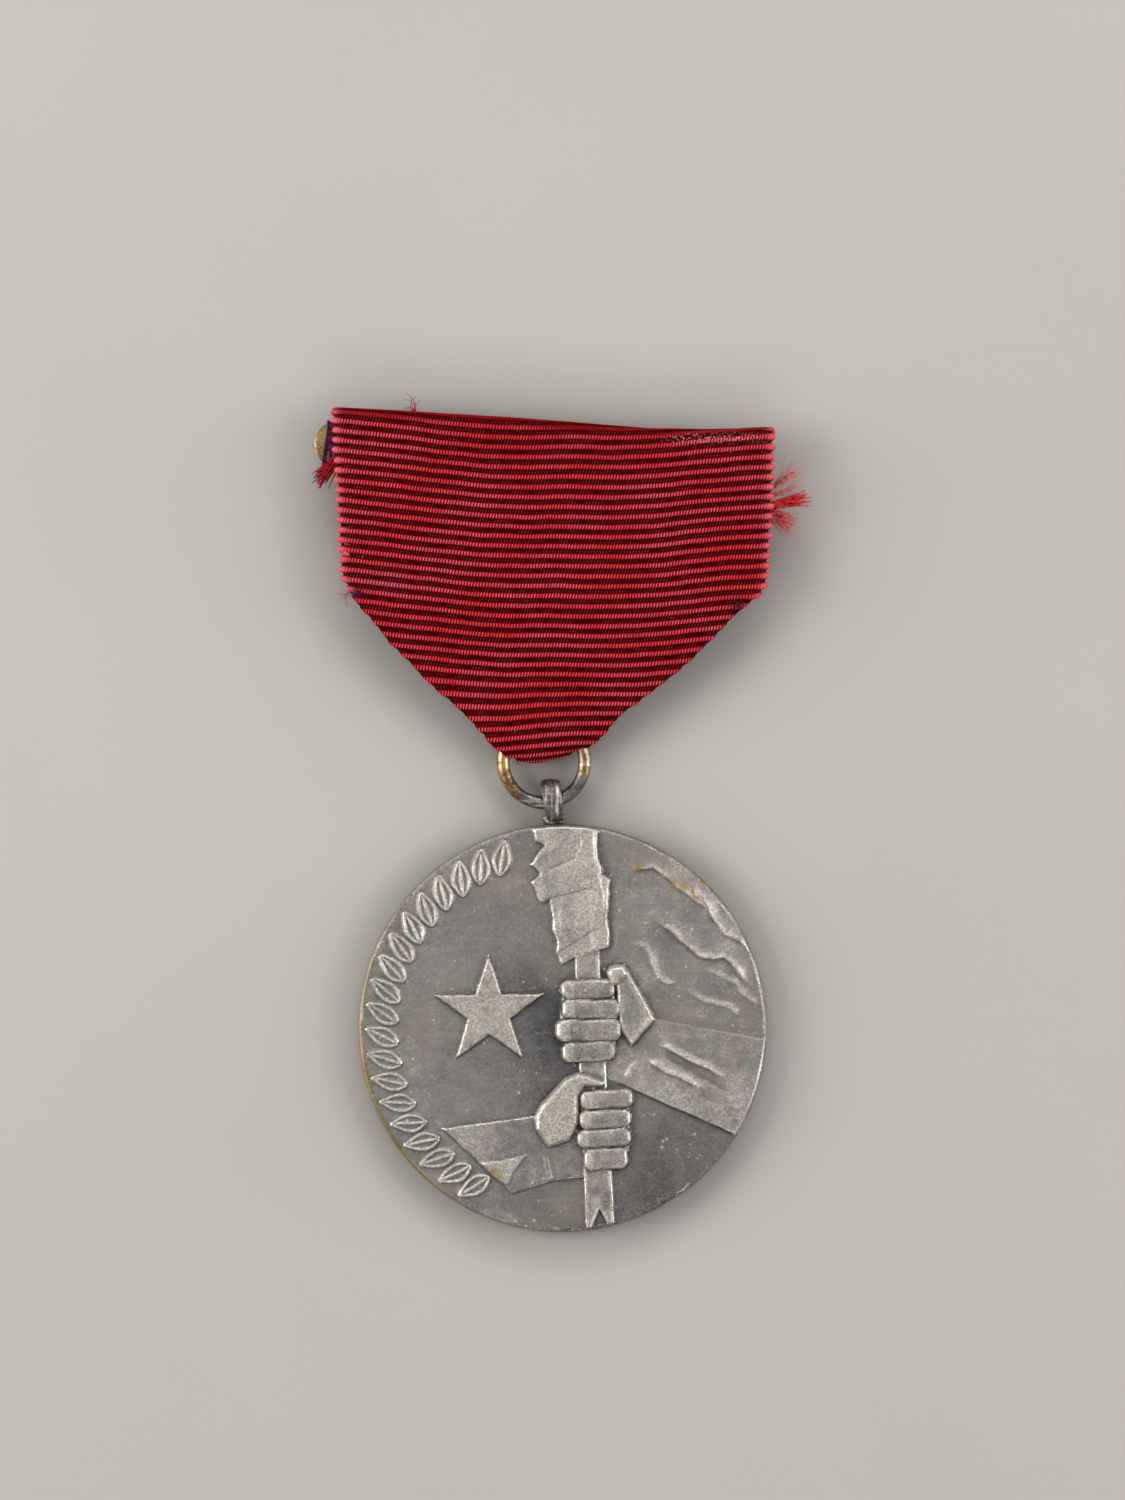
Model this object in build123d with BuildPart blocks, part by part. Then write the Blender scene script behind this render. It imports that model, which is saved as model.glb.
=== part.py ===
from build123d import *
import os
from math import cos, radians, sin

# A round struck medal that hangs by a jump ring from a folded ribbon, with a brooch bar
# and pin behind the ribbon. Millimetres and degrees. The medal lies face up: the origin is
# the centre of the disc's back face, +Y runs towards the ribbon's top, +Z out of the face.

# ---- Driving dimensions ----
DISC_DIAMETER = 35.2
FIELD_HEIGHT = 2.4            # from the back face to the plain field
EDGE_BEVEL = 0.25
MEDAL_LEAN = 2.6              # the disc and its loop lie turned anticlockwise by this

EYE_WIDTH = 1.75              # suspension loop: a flat strap bent to an oval eye
EYE_STRAP = 0.6
EYE_HOLE_HALF_LENGTH = 1.25
EYE_HOLE_HALF_HEIGHT = 1.05
EYE_CENTRE_Y = 19.65          # in the medal's own frame
EYE_ROUNDING = 0.12
WIRE_LEVEL = 1.75             # height of the ring wire's centre, and of the eye's
SOLDER_RADIUS = 1.0
SOLDER_LEVEL = 1.35
SOLDER_STAND_OFF = 0.25       # from the rim to the middle of the solder

RING_CENTRE = (-1.63, 22.97)
RING_OUTER_DIAMETER = 8.14
RING_WIRE = 1.1
RING_SPLIT_ANGLE = 72         # the butt joint sits under the ribbon
RING_SPLIT_GAP = 0.12

RIBBON_WIDTH = 38.0
CLOTH = 0.55                  # thickness of one layer
TOP_SLOPE = -2.4              # the ribbon's top edge and the bar slope down to the right
TOP_LEFT = (-19.9, 53.35)
CORNER_LEFT = (-18.9, 37.4)
CORNER_RIGHT = (17.6, 37.4)
TIP_LEFT = (-5.1, 23.9)
TIP_RIGHT = (2.5, 24.9)
FRONT_TOP = 4.9               # height of the front layer's face along the top
FRONT_TIP = 2.95              # height of the front layer's face at the tip
TIP_BASE = 0.05               # underside of the back layer at the tip
TIP_FLAT = 3.6                # the back layer lies flat under the ring for this length
FOLD_Y = 23.0                 # lowest point of the fold inside the ring
FOLD_WIDTH = 5.4
FLEX_Y = 41.0                 # line across the ribbon where it is taken to bend
FLEX_GAP = 0.7
HEM_LENGTH = 6.6
TOP_ROUNDING = 0.3
TIP_SPREAD = (1.4, 3.5)       # how far the fold's flat bottom stays inside the tip's corners
POCKET_END = 3.0              # the pocket for the ring ends this far short of the bend line
POCKET_NARROWING = 0.35
BACK_RISE = (0.1, 0.15)       # how far the back layer's outside and inside rise over its flat

BAR_LENGTH = 38.0
BAR_WIDTH = 4.0
BAR_THICKNESS = 0.6
BAR_CHAMFER = 0.15
BAR_CENTRE = (-2.4, 49.6)
BAR_BASE = 2.6                # height of the bar's underside
HINGE_X = 15.2                # places along the bar, in the bar's own frame
CATCH_X = -15.0
PIN_TIP_X = -17.4
PIN_LEVEL = 0.8
PIN_DIAMETER = 0.9
PIN_POINT_LENGTH = 4.5
PIN_POINT_RADIUS = 0.08
RIVET_DIAMETER = 0.8
RIVET_PLAY = 0.05
RIVET_HEAD = 1.3
RIVET_HEAD_THICKNESS = 0.2
EAR_RADIUS = 0.7
PIN_EYE_DIAMETER = 1.56
PIN_EYE_WIDTH = 1.8
PLATE = 0.5                   # sheet of the bracket and the hook's foot
BRACKET_LENGTH = 4.6
BRACKET_WIDTH = 3.4
HOOK_WIDTH = 2.4
HOOK_INNER_RADIUS = 0.62
HOOK_OUTER_RADIUS = 1.0
HOOK_LIP_ANGLE = -50
HOOK_MIDDLE_ANGLE = 20
HOOK_FOOT_MARGIN = 0.4        # from the foot's end to the bar's edge
HOOK_NECK_WIDTH = 0.9
HOOK_NECK_OFFSET = 0.2

THREAD = 0.3
STITCH_GROUPS = (-10.0, 0.0, 10.0)    # places along the bar
STITCHES_IN_GROUP = 3
STITCH_PITCH = 0.6
END_LOOP_X = -17.7                    # thread round the bar's bare end
HEM_STITCH_COUNT = 12
HEM_STITCH_LENGTH = 1.6
HEM_STITCH_INSET = 0.7                # from the hem's cut end
KNOT_LEFT = (-17.7, 37.5)
KNOT_RIGHT = (15.0, 36.4)
KNOT_SIZE = (1.2, 1.0)
KNOT_TURN = 20
KNOT_CEILING = 4.85                   # top of the corner knots

HEIGHT_LIMIT = 10.0           # taller than the whole medal, for cutting
CUT_MARGIN = 1.0

os.makedirs("parts", exist_ok=True)


def level(turn, z=0.0, at=(0.0, 0.0)):
    """A horizontal plane at height z, turned about the vertical, with its origin at a point."""
    return Plane(origin=(at[0], at[1], z), x_dir=(cos(radians(turn)), sin(radians(turn)), 0),
                 z_dir=(0, 0, 1))


def upright(turn, at=(0.0, 0.0), x=0.0):
    """A vertical plane square to a turned level's X: local x runs along its Y, local y is up."""
    along = (cos(radians(turn)), sin(radians(turn)), 0)
    origin = (at[0] + x * along[0], at[1] + x * along[1], 0)
    return Plane(origin=origin, x_dir=(-along[1], along[0], 0), z_dir=along)


def medal(z):
    return level(MEDAL_LEAN, z)


def bar(z):
    return level(TOP_SLOPE, z, BAR_CENTRE)


def finish(piece, name):
    piece.part.label = name
    export_step(piece.part, f"parts/{name}.step")


# ---- Medal disc: one struck piece, its relief in plain raised blocks ----
STAR_CENTRE = (-6.3, 1.7)
STAR_RADIUS = 4.9
STAR_NOTCH_RADIUS = 1.95
STAR_TURN = 88
STAR_POINTS = 5
STAR_HEIGHT = 0.4
RELIEF_ROOT = 0.3             # how far each raised block is rooted in the disc
FINGER_HEIGHT = 0.95
FINGER_GAP = 0.1
FINGER_ROUNDING = 0.4

# Each block: height above the field, then its outline in the medal's own frame.
STAFF_BUNDLE = (0.5, [(-2.0, 17.2), (-1.3, 15.8), (-2.3, 14.4), (-2.0, 12.8), (-1.5, 10.9),
                      (-0.7, 11.2), (0.1, 5.6), (4.3, 6.8), (4.6, 12.8), (3.9, 16.9)])
STAFF_SHAFT = (0.4, [(1.25, 7.0), (1.25, -17.2), (2.4, -15.7), (3.65, -17.0), (3.65, 7.0)])
RIGHT_SLEEVE = (0.3, [(8.0, 0.4), (17.1, -1.7), (14.7, -9.2), (3.7, -4.4), (5.0, -0.6)])
RIGHT_HAND = (0.8, [(4.3, 4.6), (4.4, 5.2), (5.7, 5.3), (8.0, 0.4), (5.8, -1.8), (4.7, 0.6)])
LEFT_SLEEVE = (0.3, [(-10.8, -8.1), (-2.7, -7.3), (1.2, -12.9), (-1.5, -13.1), (-5.0, -14.0),
                     (-6.2, -12.9)])
LEFT_HAND = (0.8, [(-2.8, -8.4), (-2.6, -7.2), (-0.1, -4.3), (1.6, -3.9), (3.6, -4.8),
                   (1.2, -5.6), (0.8, -8.2), (0.2, -9.7), (-1.7, -10.2)])
DRAPERY = (0.25, [(5.9, 8.6), (9.1, 8.5), (12.0, 5.6), (14.9, 5.4), (16.8, 1.6), (16.9, 4.5),
                  (15.7, 7.0), (13.3, 9.7), (10.3, 12.1), (7.0, 13.6)])
RELIEF_BLOCKS = [STAFF_BUNDLE, STAFF_SHAFT, RIGHT_SLEEVE, RIGHT_HAND, LEFT_SLEEVE, LEFT_HAND,
                 DRAPERY]

# Fingers: centre x, centre y, length and width of each, from the top one down.
FINGERS = [(2.3, 3.3, 4.6, 1.6), (2.4, 1.7, 4.9, 1.5), (2.2, 0.0, 5.5, 1.8), (2.1, -1.9, 4.4, 1.8),
           (3.5, -6.3, 4.5, 1.6), (3.4, -8.0, 4.3, 1.6), (3.1, -9.6, 4.5, 1.4),
           (3.1, -11.4, 3.7, 1.9)]

LEAF_BAND_RADIUS = 15.6       # a sprig of leaves follows the left rim
LEAF_COUNT = 19
LEAF_FIRST = 107
LEAF_LAST = 238
LEAF_LENGTH = 3.1
LEAF_WIDTH = 1.3
LEAF_TILT = 28
LEAF_HEIGHT = 0.2


def star_outline():
    points = []
    for step in range(2 * STAR_POINTS):
        radius = STAR_RADIUS if step % 2 == 0 else STAR_NOTCH_RADIUS
        angle = radians(STAR_TURN + 180 / STAR_POINTS * step)
        points.append((STAR_CENTRE[0] + radius * cos(angle), STAR_CENTRE[1] + radius * sin(angle)))
    return points


RELIEF_BLOCKS.append((STAR_HEIGHT, star_outline()))

with BuildPart() as medal_disc:
    with BuildSketch(medal(0)):
        Circle(DISC_DIAMETER / 2)
    extrude(amount=FIELD_HEIGHT)
    chamfer(medal_disc.edges().filter_by(GeomType.CIRCLE), EDGE_BEVEL)
    for block_height, outline in RELIEF_BLOCKS:
        with BuildSketch(medal(FIELD_HEIGHT - RELIEF_ROOT)):
            Polygon(*outline, align=None)
        extrude(amount=block_height + RELIEF_ROOT)
    for x, y, length, width in FINGERS:
        with BuildSketch(medal(FIELD_HEIGHT - RELIEF_ROOT)):
            with Locations((x, y)):
                RectangleRounded(length, width - FINGER_GAP, FINGER_ROUNDING)
        extrude(amount=FINGER_HEIGHT + RELIEF_ROOT)
    for leaf in range(LEAF_COUNT):
        turn = LEAF_FIRST + (LEAF_LAST - LEAF_FIRST) * leaf / (LEAF_COUNT - 1)
        centre = (LEAF_BAND_RADIUS * cos(radians(turn)), LEAF_BAND_RADIUS * sin(radians(turn)))
        with BuildSketch(medal(FIELD_HEIGHT - RELIEF_ROOT)):
            with Locations(Location((centre[0], centre[1], 0), (0, 0, turn - LEAF_TILT))):
                Ellipse(LEAF_LENGTH / 2, LEAF_WIDTH / 2)
        extrude(amount=LEAF_HEIGHT + RELIEF_ROOT)
    # The struck relief stops at the rim.
    with BuildSketch(medal(0)):
        Circle(DISC_DIAMETER / 2)
    extrude(amount=HEIGHT_LIMIT, mode=Mode.INTERSECT)
finish(medal_disc, "medal_disc")

# ---- Suspension loop: an oval eye whose hole runs across the medal ----
eye_outer = (EYE_HOLE_HALF_LENGTH + EYE_STRAP, EYE_HOLE_HALF_HEIGHT + EYE_STRAP)
with BuildPart() as suspension_loop:
    with BuildSketch(upright(MEDAL_LEAN).offset(-EYE_WIDTH / 2)):
        with Locations((EYE_CENTRE_Y, WIRE_LEVEL)):
            Ellipse(*eye_outer)
            Ellipse(EYE_HOLE_HALF_LENGTH, EYE_HOLE_HALF_HEIGHT, mode=Mode.SUBTRACT)
    extrude(amount=EYE_WIDTH)
    fillet(suspension_loop.edges(), EYE_ROUNDING)
finish(suspension_loop, "suspension_loop")

# ---- Solder that fills the corner between the rim and the loop's foot ----
with BuildPart() as loop_solder:
    with Locations(medal(SOLDER_LEVEL) * Pos(0, DISC_DIAMETER / 2 + SOLDER_STAND_OFF, 0)):
        Sphere(SOLDER_RADIUS)
    add(medal_disc.part, mode=Mode.SUBTRACT)
    add(suspension_loop.part, mode=Mode.SUBTRACT)
    with BuildSketch(upright(MEDAL_LEAN).offset(-HEIGHT_LIMIT / 2)):
        with Locations((EYE_CENTRE_Y, WIRE_LEVEL)):
            Ellipse(*eye_outer)
    extrude(amount=HEIGHT_LIMIT, mode=Mode.SUBTRACT)
finish(loop_solder, "loop_solder")

# ---- Jump ring: round wire with butted ends ----
ring_radius = (RING_OUTER_DIAMETER - RING_WIRE) / 2
with BuildPart() as jump_ring:
    with Locations(level(RING_SPLIT_ANGLE, WIRE_LEVEL, RING_CENTRE)):
        Torus(ring_radius, RING_WIRE / 2)
        with Locations((ring_radius, 0, 0)):
            Box(2 * RING_WIRE, RING_SPLIT_GAP, 2 * RING_WIRE, mode=Mode.SUBTRACT)
finish(jump_ring, "jump_ring")

# ---- Ribbon: one strip, folded through the ring and turned over at the top ----
top_right_y = TOP_LEFT[1] + RIBBON_WIDTH * sin(radians(TOP_SLOPE))
TOP_RIGHT = (TOP_LEFT[0] + RIBBON_WIDTH, top_right_y)
PANEL = [TOP_LEFT, CORNER_LEFT, TIP_LEFT, (TIP_LEFT[0] + TIP_SPREAD[0], FOLD_Y),
         (TIP_RIGHT[0] - TIP_SPREAD[1], FOLD_Y), TIP_RIGHT, CORNER_RIGHT, TOP_RIGHT]
stack_base = FRONT_TOP - 2 * CLOTH            # underside of the back layer along the top
fold_radius = (FRONT_TIP - TIP_BASE) / 2      # outside of the fold
fold_centre = (FOLD_Y + fold_radius, TIP_BASE + fold_radius)
inner_radius = fold_radius - CLOTH

with BuildPart() as ribbon_upper:
    top_plane = upright(TOP_SLOPE, TOP_LEFT).offset(-CUT_MARGIN)
    with BuildSketch(top_plane):
        with Locations((-HEIGHT_LIMIT, (stack_base + FRONT_TOP) / 2)):
            Rectangle(2 * HEIGHT_LIMIT, 2 * CLOTH)
        with Locations((-HEM_LENGTH / 2, stack_base - CLOTH / 2)):
            Rectangle(HEM_LENGTH, CLOTH)
    extrude(amount=RIBBON_WIDTH + 2 * CUT_MARGIN)
    fillet(ribbon_upper.edges().filter_by(Axis.Z, reverse=True).group_by(Axis.Y)[-1], TOP_ROUNDING)
    with BuildSketch(Plane.XY):
        Polygon(*PANEL, align=None)
    extrude(amount=HEIGHT_LIMIT, mode=Mode.INTERSECT)
    split(bisect_by=Plane(origin=(0, FLEX_Y + FLEX_GAP / 2, 0), z_dir=(0, 1, 0)))
finish(ribbon_upper, "ribbon_upper")

with BuildPart() as ribbon_lower:
    end_y = FLEX_Y - FLEX_GAP / 2
    fold_bottom = (fold_centre[0], TIP_BASE)
    fold_top = (fold_centre[0], FRONT_TIP)
    with BuildSketch(Plane.YZ.offset(-RIBBON_WIDTH)):
        with BuildLine():
            Polyline(fold_top, (end_y, FRONT_TOP), (end_y, stack_base),
                     (fold_centre[0] + TIP_FLAT, TIP_BASE + BACK_RISE[0]), fold_bottom)
            ThreePointArc(fold_bottom, (FOLD_Y, fold_centre[1]), fold_top)
        make_face()
        # the pocket between the layers, where the ring's wire lies
        with BuildLine():
            low = (fold_centre[0], TIP_BASE + CLOTH)
            high = (fold_centre[0], FRONT_TIP - CLOTH)
            Polyline(high, (end_y - POCKET_END, FRONT_TOP - CLOTH - POCKET_NARROWING),
                     (fold_centre[0] + TIP_FLAT, TIP_BASE + CLOTH + BACK_RISE[1]), low)
            ThreePointArc(low, (fold_centre[0] - inner_radius, fold_centre[1]), high)
        make_face(mode=Mode.SUBTRACT)
    extrude(amount=2 * RIBBON_WIDTH)
    with BuildSketch(Plane.XY):
        Polygon(*PANEL, align=None)
    extrude(amount=HEIGHT_LIMIT, mode=Mode.INTERSECT)
    # only the narrow fold passes through the ring
    pocket_height = FRONT_TIP - TIP_BASE - 2 * CLOTH
    for side in (-1, 1):
        x = RING_CENTRE[0] + side * (FOLD_WIDTH / 2 + RIBBON_WIDTH / 2)
        with Locations((x, FOLD_Y, fold_centre[1])):
            Box(RIBBON_WIDTH, 2 * fold_radius + CUT_MARGIN, pocket_height, mode=Mode.SUBTRACT)
finish(ribbon_lower, "ribbon_lower")

# ---- Brooch bar with its hinge bracket, rivet, pin and catch ----
with BuildPart() as brooch_bar:
    with BuildSketch(bar(BAR_BASE)):
        SlotOverall(BAR_LENGTH, BAR_WIDTH)
    extrude(amount=BAR_THICKNESS)
    chamfer(brooch_bar.faces().sort_by(Axis.Z)[-1].edges(), BAR_CHAMFER)
finish(brooch_bar, "brooch_bar")

hinge_plane = level(TOP_SLOPE, PIN_LEVEL, BAR_CENTRE)
with BuildPart() as pin_hinge_bracket:
    with BuildSketch(bar(BAR_BASE - PLATE)):
        with Locations((HINGE_X, 0)):
            Rectangle(BRACKET_LENGTH, BRACKET_WIDTH)
    extrude(amount=PLATE)
    for side in (-1, 1):
        ear_face = Plane(origin=hinge_plane.from_local_coords((HINGE_X, side * BRACKET_WIDTH / 2, 0)),
                         x_dir=hinge_plane.x_dir, z_dir=-side * hinge_plane.y_dir)
        with BuildSketch(ear_face):
            Circle(EAR_RADIUS)
            # the sketch's y points up on one side and down on the other
            with Locations((0, side * (BAR_BASE - PLATE - PIN_LEVEL) / 2)):
                Rectangle(2 * EAR_RADIUS, BAR_BASE - PLATE - PIN_LEVEL)
            Circle(RIVET_DIAMETER / 2, mode=Mode.SUBTRACT)
        extrude(amount=PLATE)
finish(pin_hinge_bracket, "pin_hinge_bracket")

rivet_end = hinge_plane.from_local_coords((HINGE_X, -BRACKET_WIDTH / 2 - RIVET_HEAD_THICKNESS, 0))
rivet_start = Plane(origin=rivet_end, x_dir=hinge_plane.x_dir, z_dir=hinge_plane.y_dir)
with BuildPart() as hinge_rivet:
    with BuildSketch(rivet_start):
        Circle(RIVET_DIAMETER / 2)
    extrude(amount=BRACKET_WIDTH + 2 * RIVET_HEAD_THICKNESS)
    with BuildSketch(rivet_start, rivet_start.offset(BRACKET_WIDTH + RIVET_HEAD_THICKNESS)):
        Circle(RIVET_HEAD / 2)
    extrude(amount=RIVET_HEAD_THICKNESS)
finish(hinge_rivet, "hinge_rivet")

with BuildPart() as pin_stem:
    eye_side = Plane(origin=hinge_plane.from_local_coords((HINGE_X, -PIN_EYE_WIDTH / 2, 0)),
                     x_dir=hinge_plane.x_dir, z_dir=hinge_plane.y_dir)
    with BuildSketch(eye_side):
        Circle(PIN_EYE_DIAMETER / 2)
    extrude(amount=PIN_EYE_WIDTH)
    stem_start = Plane(origin=hinge_plane.from_local_coords((HINGE_X, 0, 0)),
                       x_dir=hinge_plane.y_dir, z_dir=-hinge_plane.x_dir)
    with BuildSketch(stem_start):
        Circle(PIN_DIAMETER / 2)
    extrude(amount=HINGE_X - PIN_TIP_X - PIN_POINT_LENGTH)
    shoulder = stem_start.offset(HINGE_X - PIN_TIP_X - PIN_POINT_LENGTH)
    with BuildSketch(shoulder):
        Circle(PIN_DIAMETER / 2)
    with BuildSketch(shoulder.offset(PIN_POINT_LENGTH)):
        Circle(PIN_POINT_RADIUS)
    loft()
    with BuildSketch(eye_side):
        Circle(RIVET_DIAMETER / 2 + RIVET_PLAY)
    extrude(amount=PIN_EYE_WIDTH, mode=Mode.SUBTRACT)
finish(pin_stem, "pin_stem")

def hook_point(radius, angle):
    return (radius * cos(angle), HOOK_OUTER_RADIUS + radius * sin(angle))


with BuildPart() as catch_hook:
    with BuildSketch(bar(BAR_BASE - PLATE)):
        with Locations((CATCH_X, 0)):
            Rectangle(HOOK_WIDTH, BAR_WIDTH - 2 * HOOK_FOOT_MARGIN)
    extrude(amount=PLATE)
    with BuildSketch(upright(TOP_SLOPE, BAR_CENTRE, CATCH_X - HOOK_WIDTH / 2)):
        top = radians(90)
        half = radians(HOOK_MIDDLE_ANGLE)
        lip = radians(HOOK_LIP_ANGLE)
        with BuildLine():
            ThreePointArc(hook_point(HOOK_OUTER_RADIUS, top), hook_point(HOOK_OUTER_RADIUS, half),
                          hook_point(HOOK_OUTER_RADIUS, lip))
            Line(hook_point(HOOK_OUTER_RADIUS, lip), hook_point(HOOK_INNER_RADIUS, lip))
            ThreePointArc(hook_point(HOOK_INNER_RADIUS, lip), hook_point(HOOK_INNER_RADIUS, half),
                          hook_point(HOOK_INNER_RADIUS, top))
            Line(hook_point(HOOK_INNER_RADIUS, top), hook_point(HOOK_OUTER_RADIUS, top))
        make_face()
        neck_base = HOOK_OUTER_RADIUS + HOOK_INNER_RADIUS
        with Locations((HOOK_NECK_OFFSET, (neck_base + BAR_BASE - PLATE) / 2)):
            Rectangle(HOOK_NECK_WIDTH, BAR_BASE - PLATE - neck_base)
    extrude(amount=HOOK_WIDTH)
finish(catch_hook, "catch_hook")

# ---- Sewing thread ----
stitch_places = []
for group_x in STITCH_GROUPS:
    for index in range(STITCHES_IN_GROUP):
        stitch_places.append(group_x + (index - 1) * STITCH_PITCH)

with BuildPart() as bar_stitches:
    for x in stitch_places:
        with BuildSketch(upright(TOP_SLOPE, BAR_CENTRE, x - THREAD / 2)):
            with Locations((0, BAR_BASE + BAR_THICKNESS / 2 - THREAD / 2)):
                Rectangle(BAR_WIDTH + 2 * THREAD, BAR_THICKNESS + THREAD)
            with Locations((0, BAR_BASE + BAR_THICKNESS / 2)):
                Rectangle(BAR_WIDTH, BAR_THICKNESS, mode=Mode.SUBTRACT)
        extrude(amount=THREAD)
    with BuildSketch(upright(TOP_SLOPE, BAR_CENTRE, END_LOOP_X - THREAD / 2)):
        with Locations((0, BAR_BASE + BAR_THICKNESS / 2)):
            Rectangle(BAR_WIDTH, BAR_THICKNESS + 2 * THREAD)
            Rectangle(BAR_WIDTH - 2 * THREAD, BAR_THICKNESS, mode=Mode.SUBTRACT)
    extrude(amount=THREAD)
    add(brooch_bar.part, mode=Mode.SUBTRACT)
finish(bar_stitches, "bar_stitches")


def corner_knot(at):
    """A thread knot that sits on the ribbon's front layer, over the folded corner."""
    with BuildPart() as knot:
        with BuildSketch(level(KNOT_TURN, FRONT_TIP, at)):
            Ellipse(KNOT_SIZE[0] / 2, KNOT_SIZE[1] / 2)
        extrude(amount=KNOT_CEILING - FRONT_TIP)
        add(ribbon_lower.part, mode=Mode.SUBTRACT)
    keep = knot.solids().sort_by(Axis.Z)[-1]
    with BuildPart() as knot_top:
        add(keep)
    return knot_top


corner_stitch_left = corner_knot(KNOT_LEFT)
finish(corner_stitch_left, "corner_stitch_left")
corner_stitch_right = corner_knot(KNOT_RIGHT)
finish(corner_stitch_right, "corner_stitch_right")

hem_plane = level(TOP_SLOPE, stack_base - CLOTH - THREAD, TOP_LEFT)
with BuildPart() as hem_stitches:
    with BuildSketch(hem_plane):
        with Locations((RIBBON_WIDTH / 2, -HEM_LENGTH + HEM_STITCH_INSET)):
            with GridLocations(RIBBON_WIDTH / HEM_STITCH_COUNT, 1, HEM_STITCH_COUNT, 1):
                SlotOverall(HEM_STITCH_LENGTH, THREAD)
    extrude(amount=THREAD)
finish(hem_stitches, "hem_stitches")
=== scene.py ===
import math
import random

import bmesh
import bpy
import numpy as np
from mathutils import Matrix, Vector, noise


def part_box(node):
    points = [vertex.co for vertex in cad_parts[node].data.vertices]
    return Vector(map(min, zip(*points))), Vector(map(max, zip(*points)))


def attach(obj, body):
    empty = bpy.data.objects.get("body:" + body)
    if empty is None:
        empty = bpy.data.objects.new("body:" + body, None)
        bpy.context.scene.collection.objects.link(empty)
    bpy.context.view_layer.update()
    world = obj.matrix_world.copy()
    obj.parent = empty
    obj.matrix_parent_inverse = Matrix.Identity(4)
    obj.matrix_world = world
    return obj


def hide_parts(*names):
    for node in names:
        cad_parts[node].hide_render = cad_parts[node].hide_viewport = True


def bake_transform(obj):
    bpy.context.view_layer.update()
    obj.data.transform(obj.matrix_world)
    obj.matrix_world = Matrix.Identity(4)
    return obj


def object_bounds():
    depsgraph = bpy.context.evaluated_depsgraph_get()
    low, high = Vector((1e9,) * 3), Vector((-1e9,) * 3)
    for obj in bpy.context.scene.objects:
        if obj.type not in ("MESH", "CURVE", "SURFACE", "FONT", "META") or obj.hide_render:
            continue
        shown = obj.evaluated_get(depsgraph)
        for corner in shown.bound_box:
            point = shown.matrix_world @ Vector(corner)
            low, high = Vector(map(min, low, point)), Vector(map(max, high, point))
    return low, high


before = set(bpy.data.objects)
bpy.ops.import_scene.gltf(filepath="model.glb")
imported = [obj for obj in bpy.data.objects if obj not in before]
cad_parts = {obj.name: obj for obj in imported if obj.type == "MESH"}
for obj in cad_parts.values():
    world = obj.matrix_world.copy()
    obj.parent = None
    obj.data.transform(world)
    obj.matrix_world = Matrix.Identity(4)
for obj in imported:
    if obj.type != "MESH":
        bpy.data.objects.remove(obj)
cad_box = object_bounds()

MM = 0.001
noise.seed_set(1)                 # the vector noise takes its offsets from this seed
LEAN = math.radians(2.6)          # the disc and its eye lie turned anticlockwise by this

# ---- Places, read from the frame ----
disc_low, disc_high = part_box("medal_disc")
DISC_CENTRE = Vector(((disc_low.x + disc_high.x) / 2, (disc_low.y + disc_high.y) / 2, disc_low.z))
DISC_RADIUS = (disc_high.x - disc_low.x) / 2 / MM
ring_low, ring_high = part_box("jump_ring")
RING_CENTRE = (ring_low + ring_high) / 2
RING_WIRE_RADIUS = (ring_high.z - ring_low.z) / 2
RING_RADIUS = (ring_high.x - ring_low.x) / 2 - RING_WIRE_RADIUS
eye_low, eye_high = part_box("suspension_loop")
upper_low, upper_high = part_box("ribbon_upper")
lower_low, lower_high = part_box("ribbon_lower")


# ---- Small helpers ----
def show(name, data):
    """Adds an object with this data to the scene."""
    made = bpy.data.objects.new(name, data)
    bpy.context.scene.collection.objects.link(made)
    return made


def new_object(name, mesh, body, material, replaced=()):
    """Shows a finished mesh, rides it on its body and gives it its finish."""
    piece = show(name, mesh)
    mesh.materials.clear()
    mesh.materials.append(material)
    if body:
        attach(piece, body)
    if replaced:
        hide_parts(*replaced)
    return piece


def mesh_from(bm, name):
    mesh = bpy.data.meshes.new(name)
    bm.to_mesh(mesh)
    bm.free()
    mesh.shade_smooth()
    return mesh


def verts_in(geometry):
    return [g for g in geometry if isinstance(g, bmesh.types.BMVert)]


def coordinates(mesh):
    flat = np.empty(len(mesh.vertices) * 3)
    mesh.vertices.foreach_get("co", flat)
    return flat.reshape(-1, 3)


def move_vertices(mesh, points):
    mesh.vertices.foreach_set("co", points.astype(np.float32).ravel())
    mesh.update()


def point_attribute(mesh, name, values):
    layer = mesh.attributes.new(name, "FLOAT", "POINT")
    layer.data.foreach_set("value", np.asarray(values, np.float32).ravel())


def step(values, low, high):
    """0 below low, 1 above high, smooth between."""
    t = np.clip((values - low) / (high - low), 0, 1)
    return t * t * (3 - 2 * t)


def hump(values, centre, width):
    """1 at the centre, falling off like a bell to 0.37 at the width."""
    return np.exp(-((values - centre) / width) ** 2)


# ---- Materials ----
def rgb(r, g, b):
    return (r, g, b, 1.0)


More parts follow.
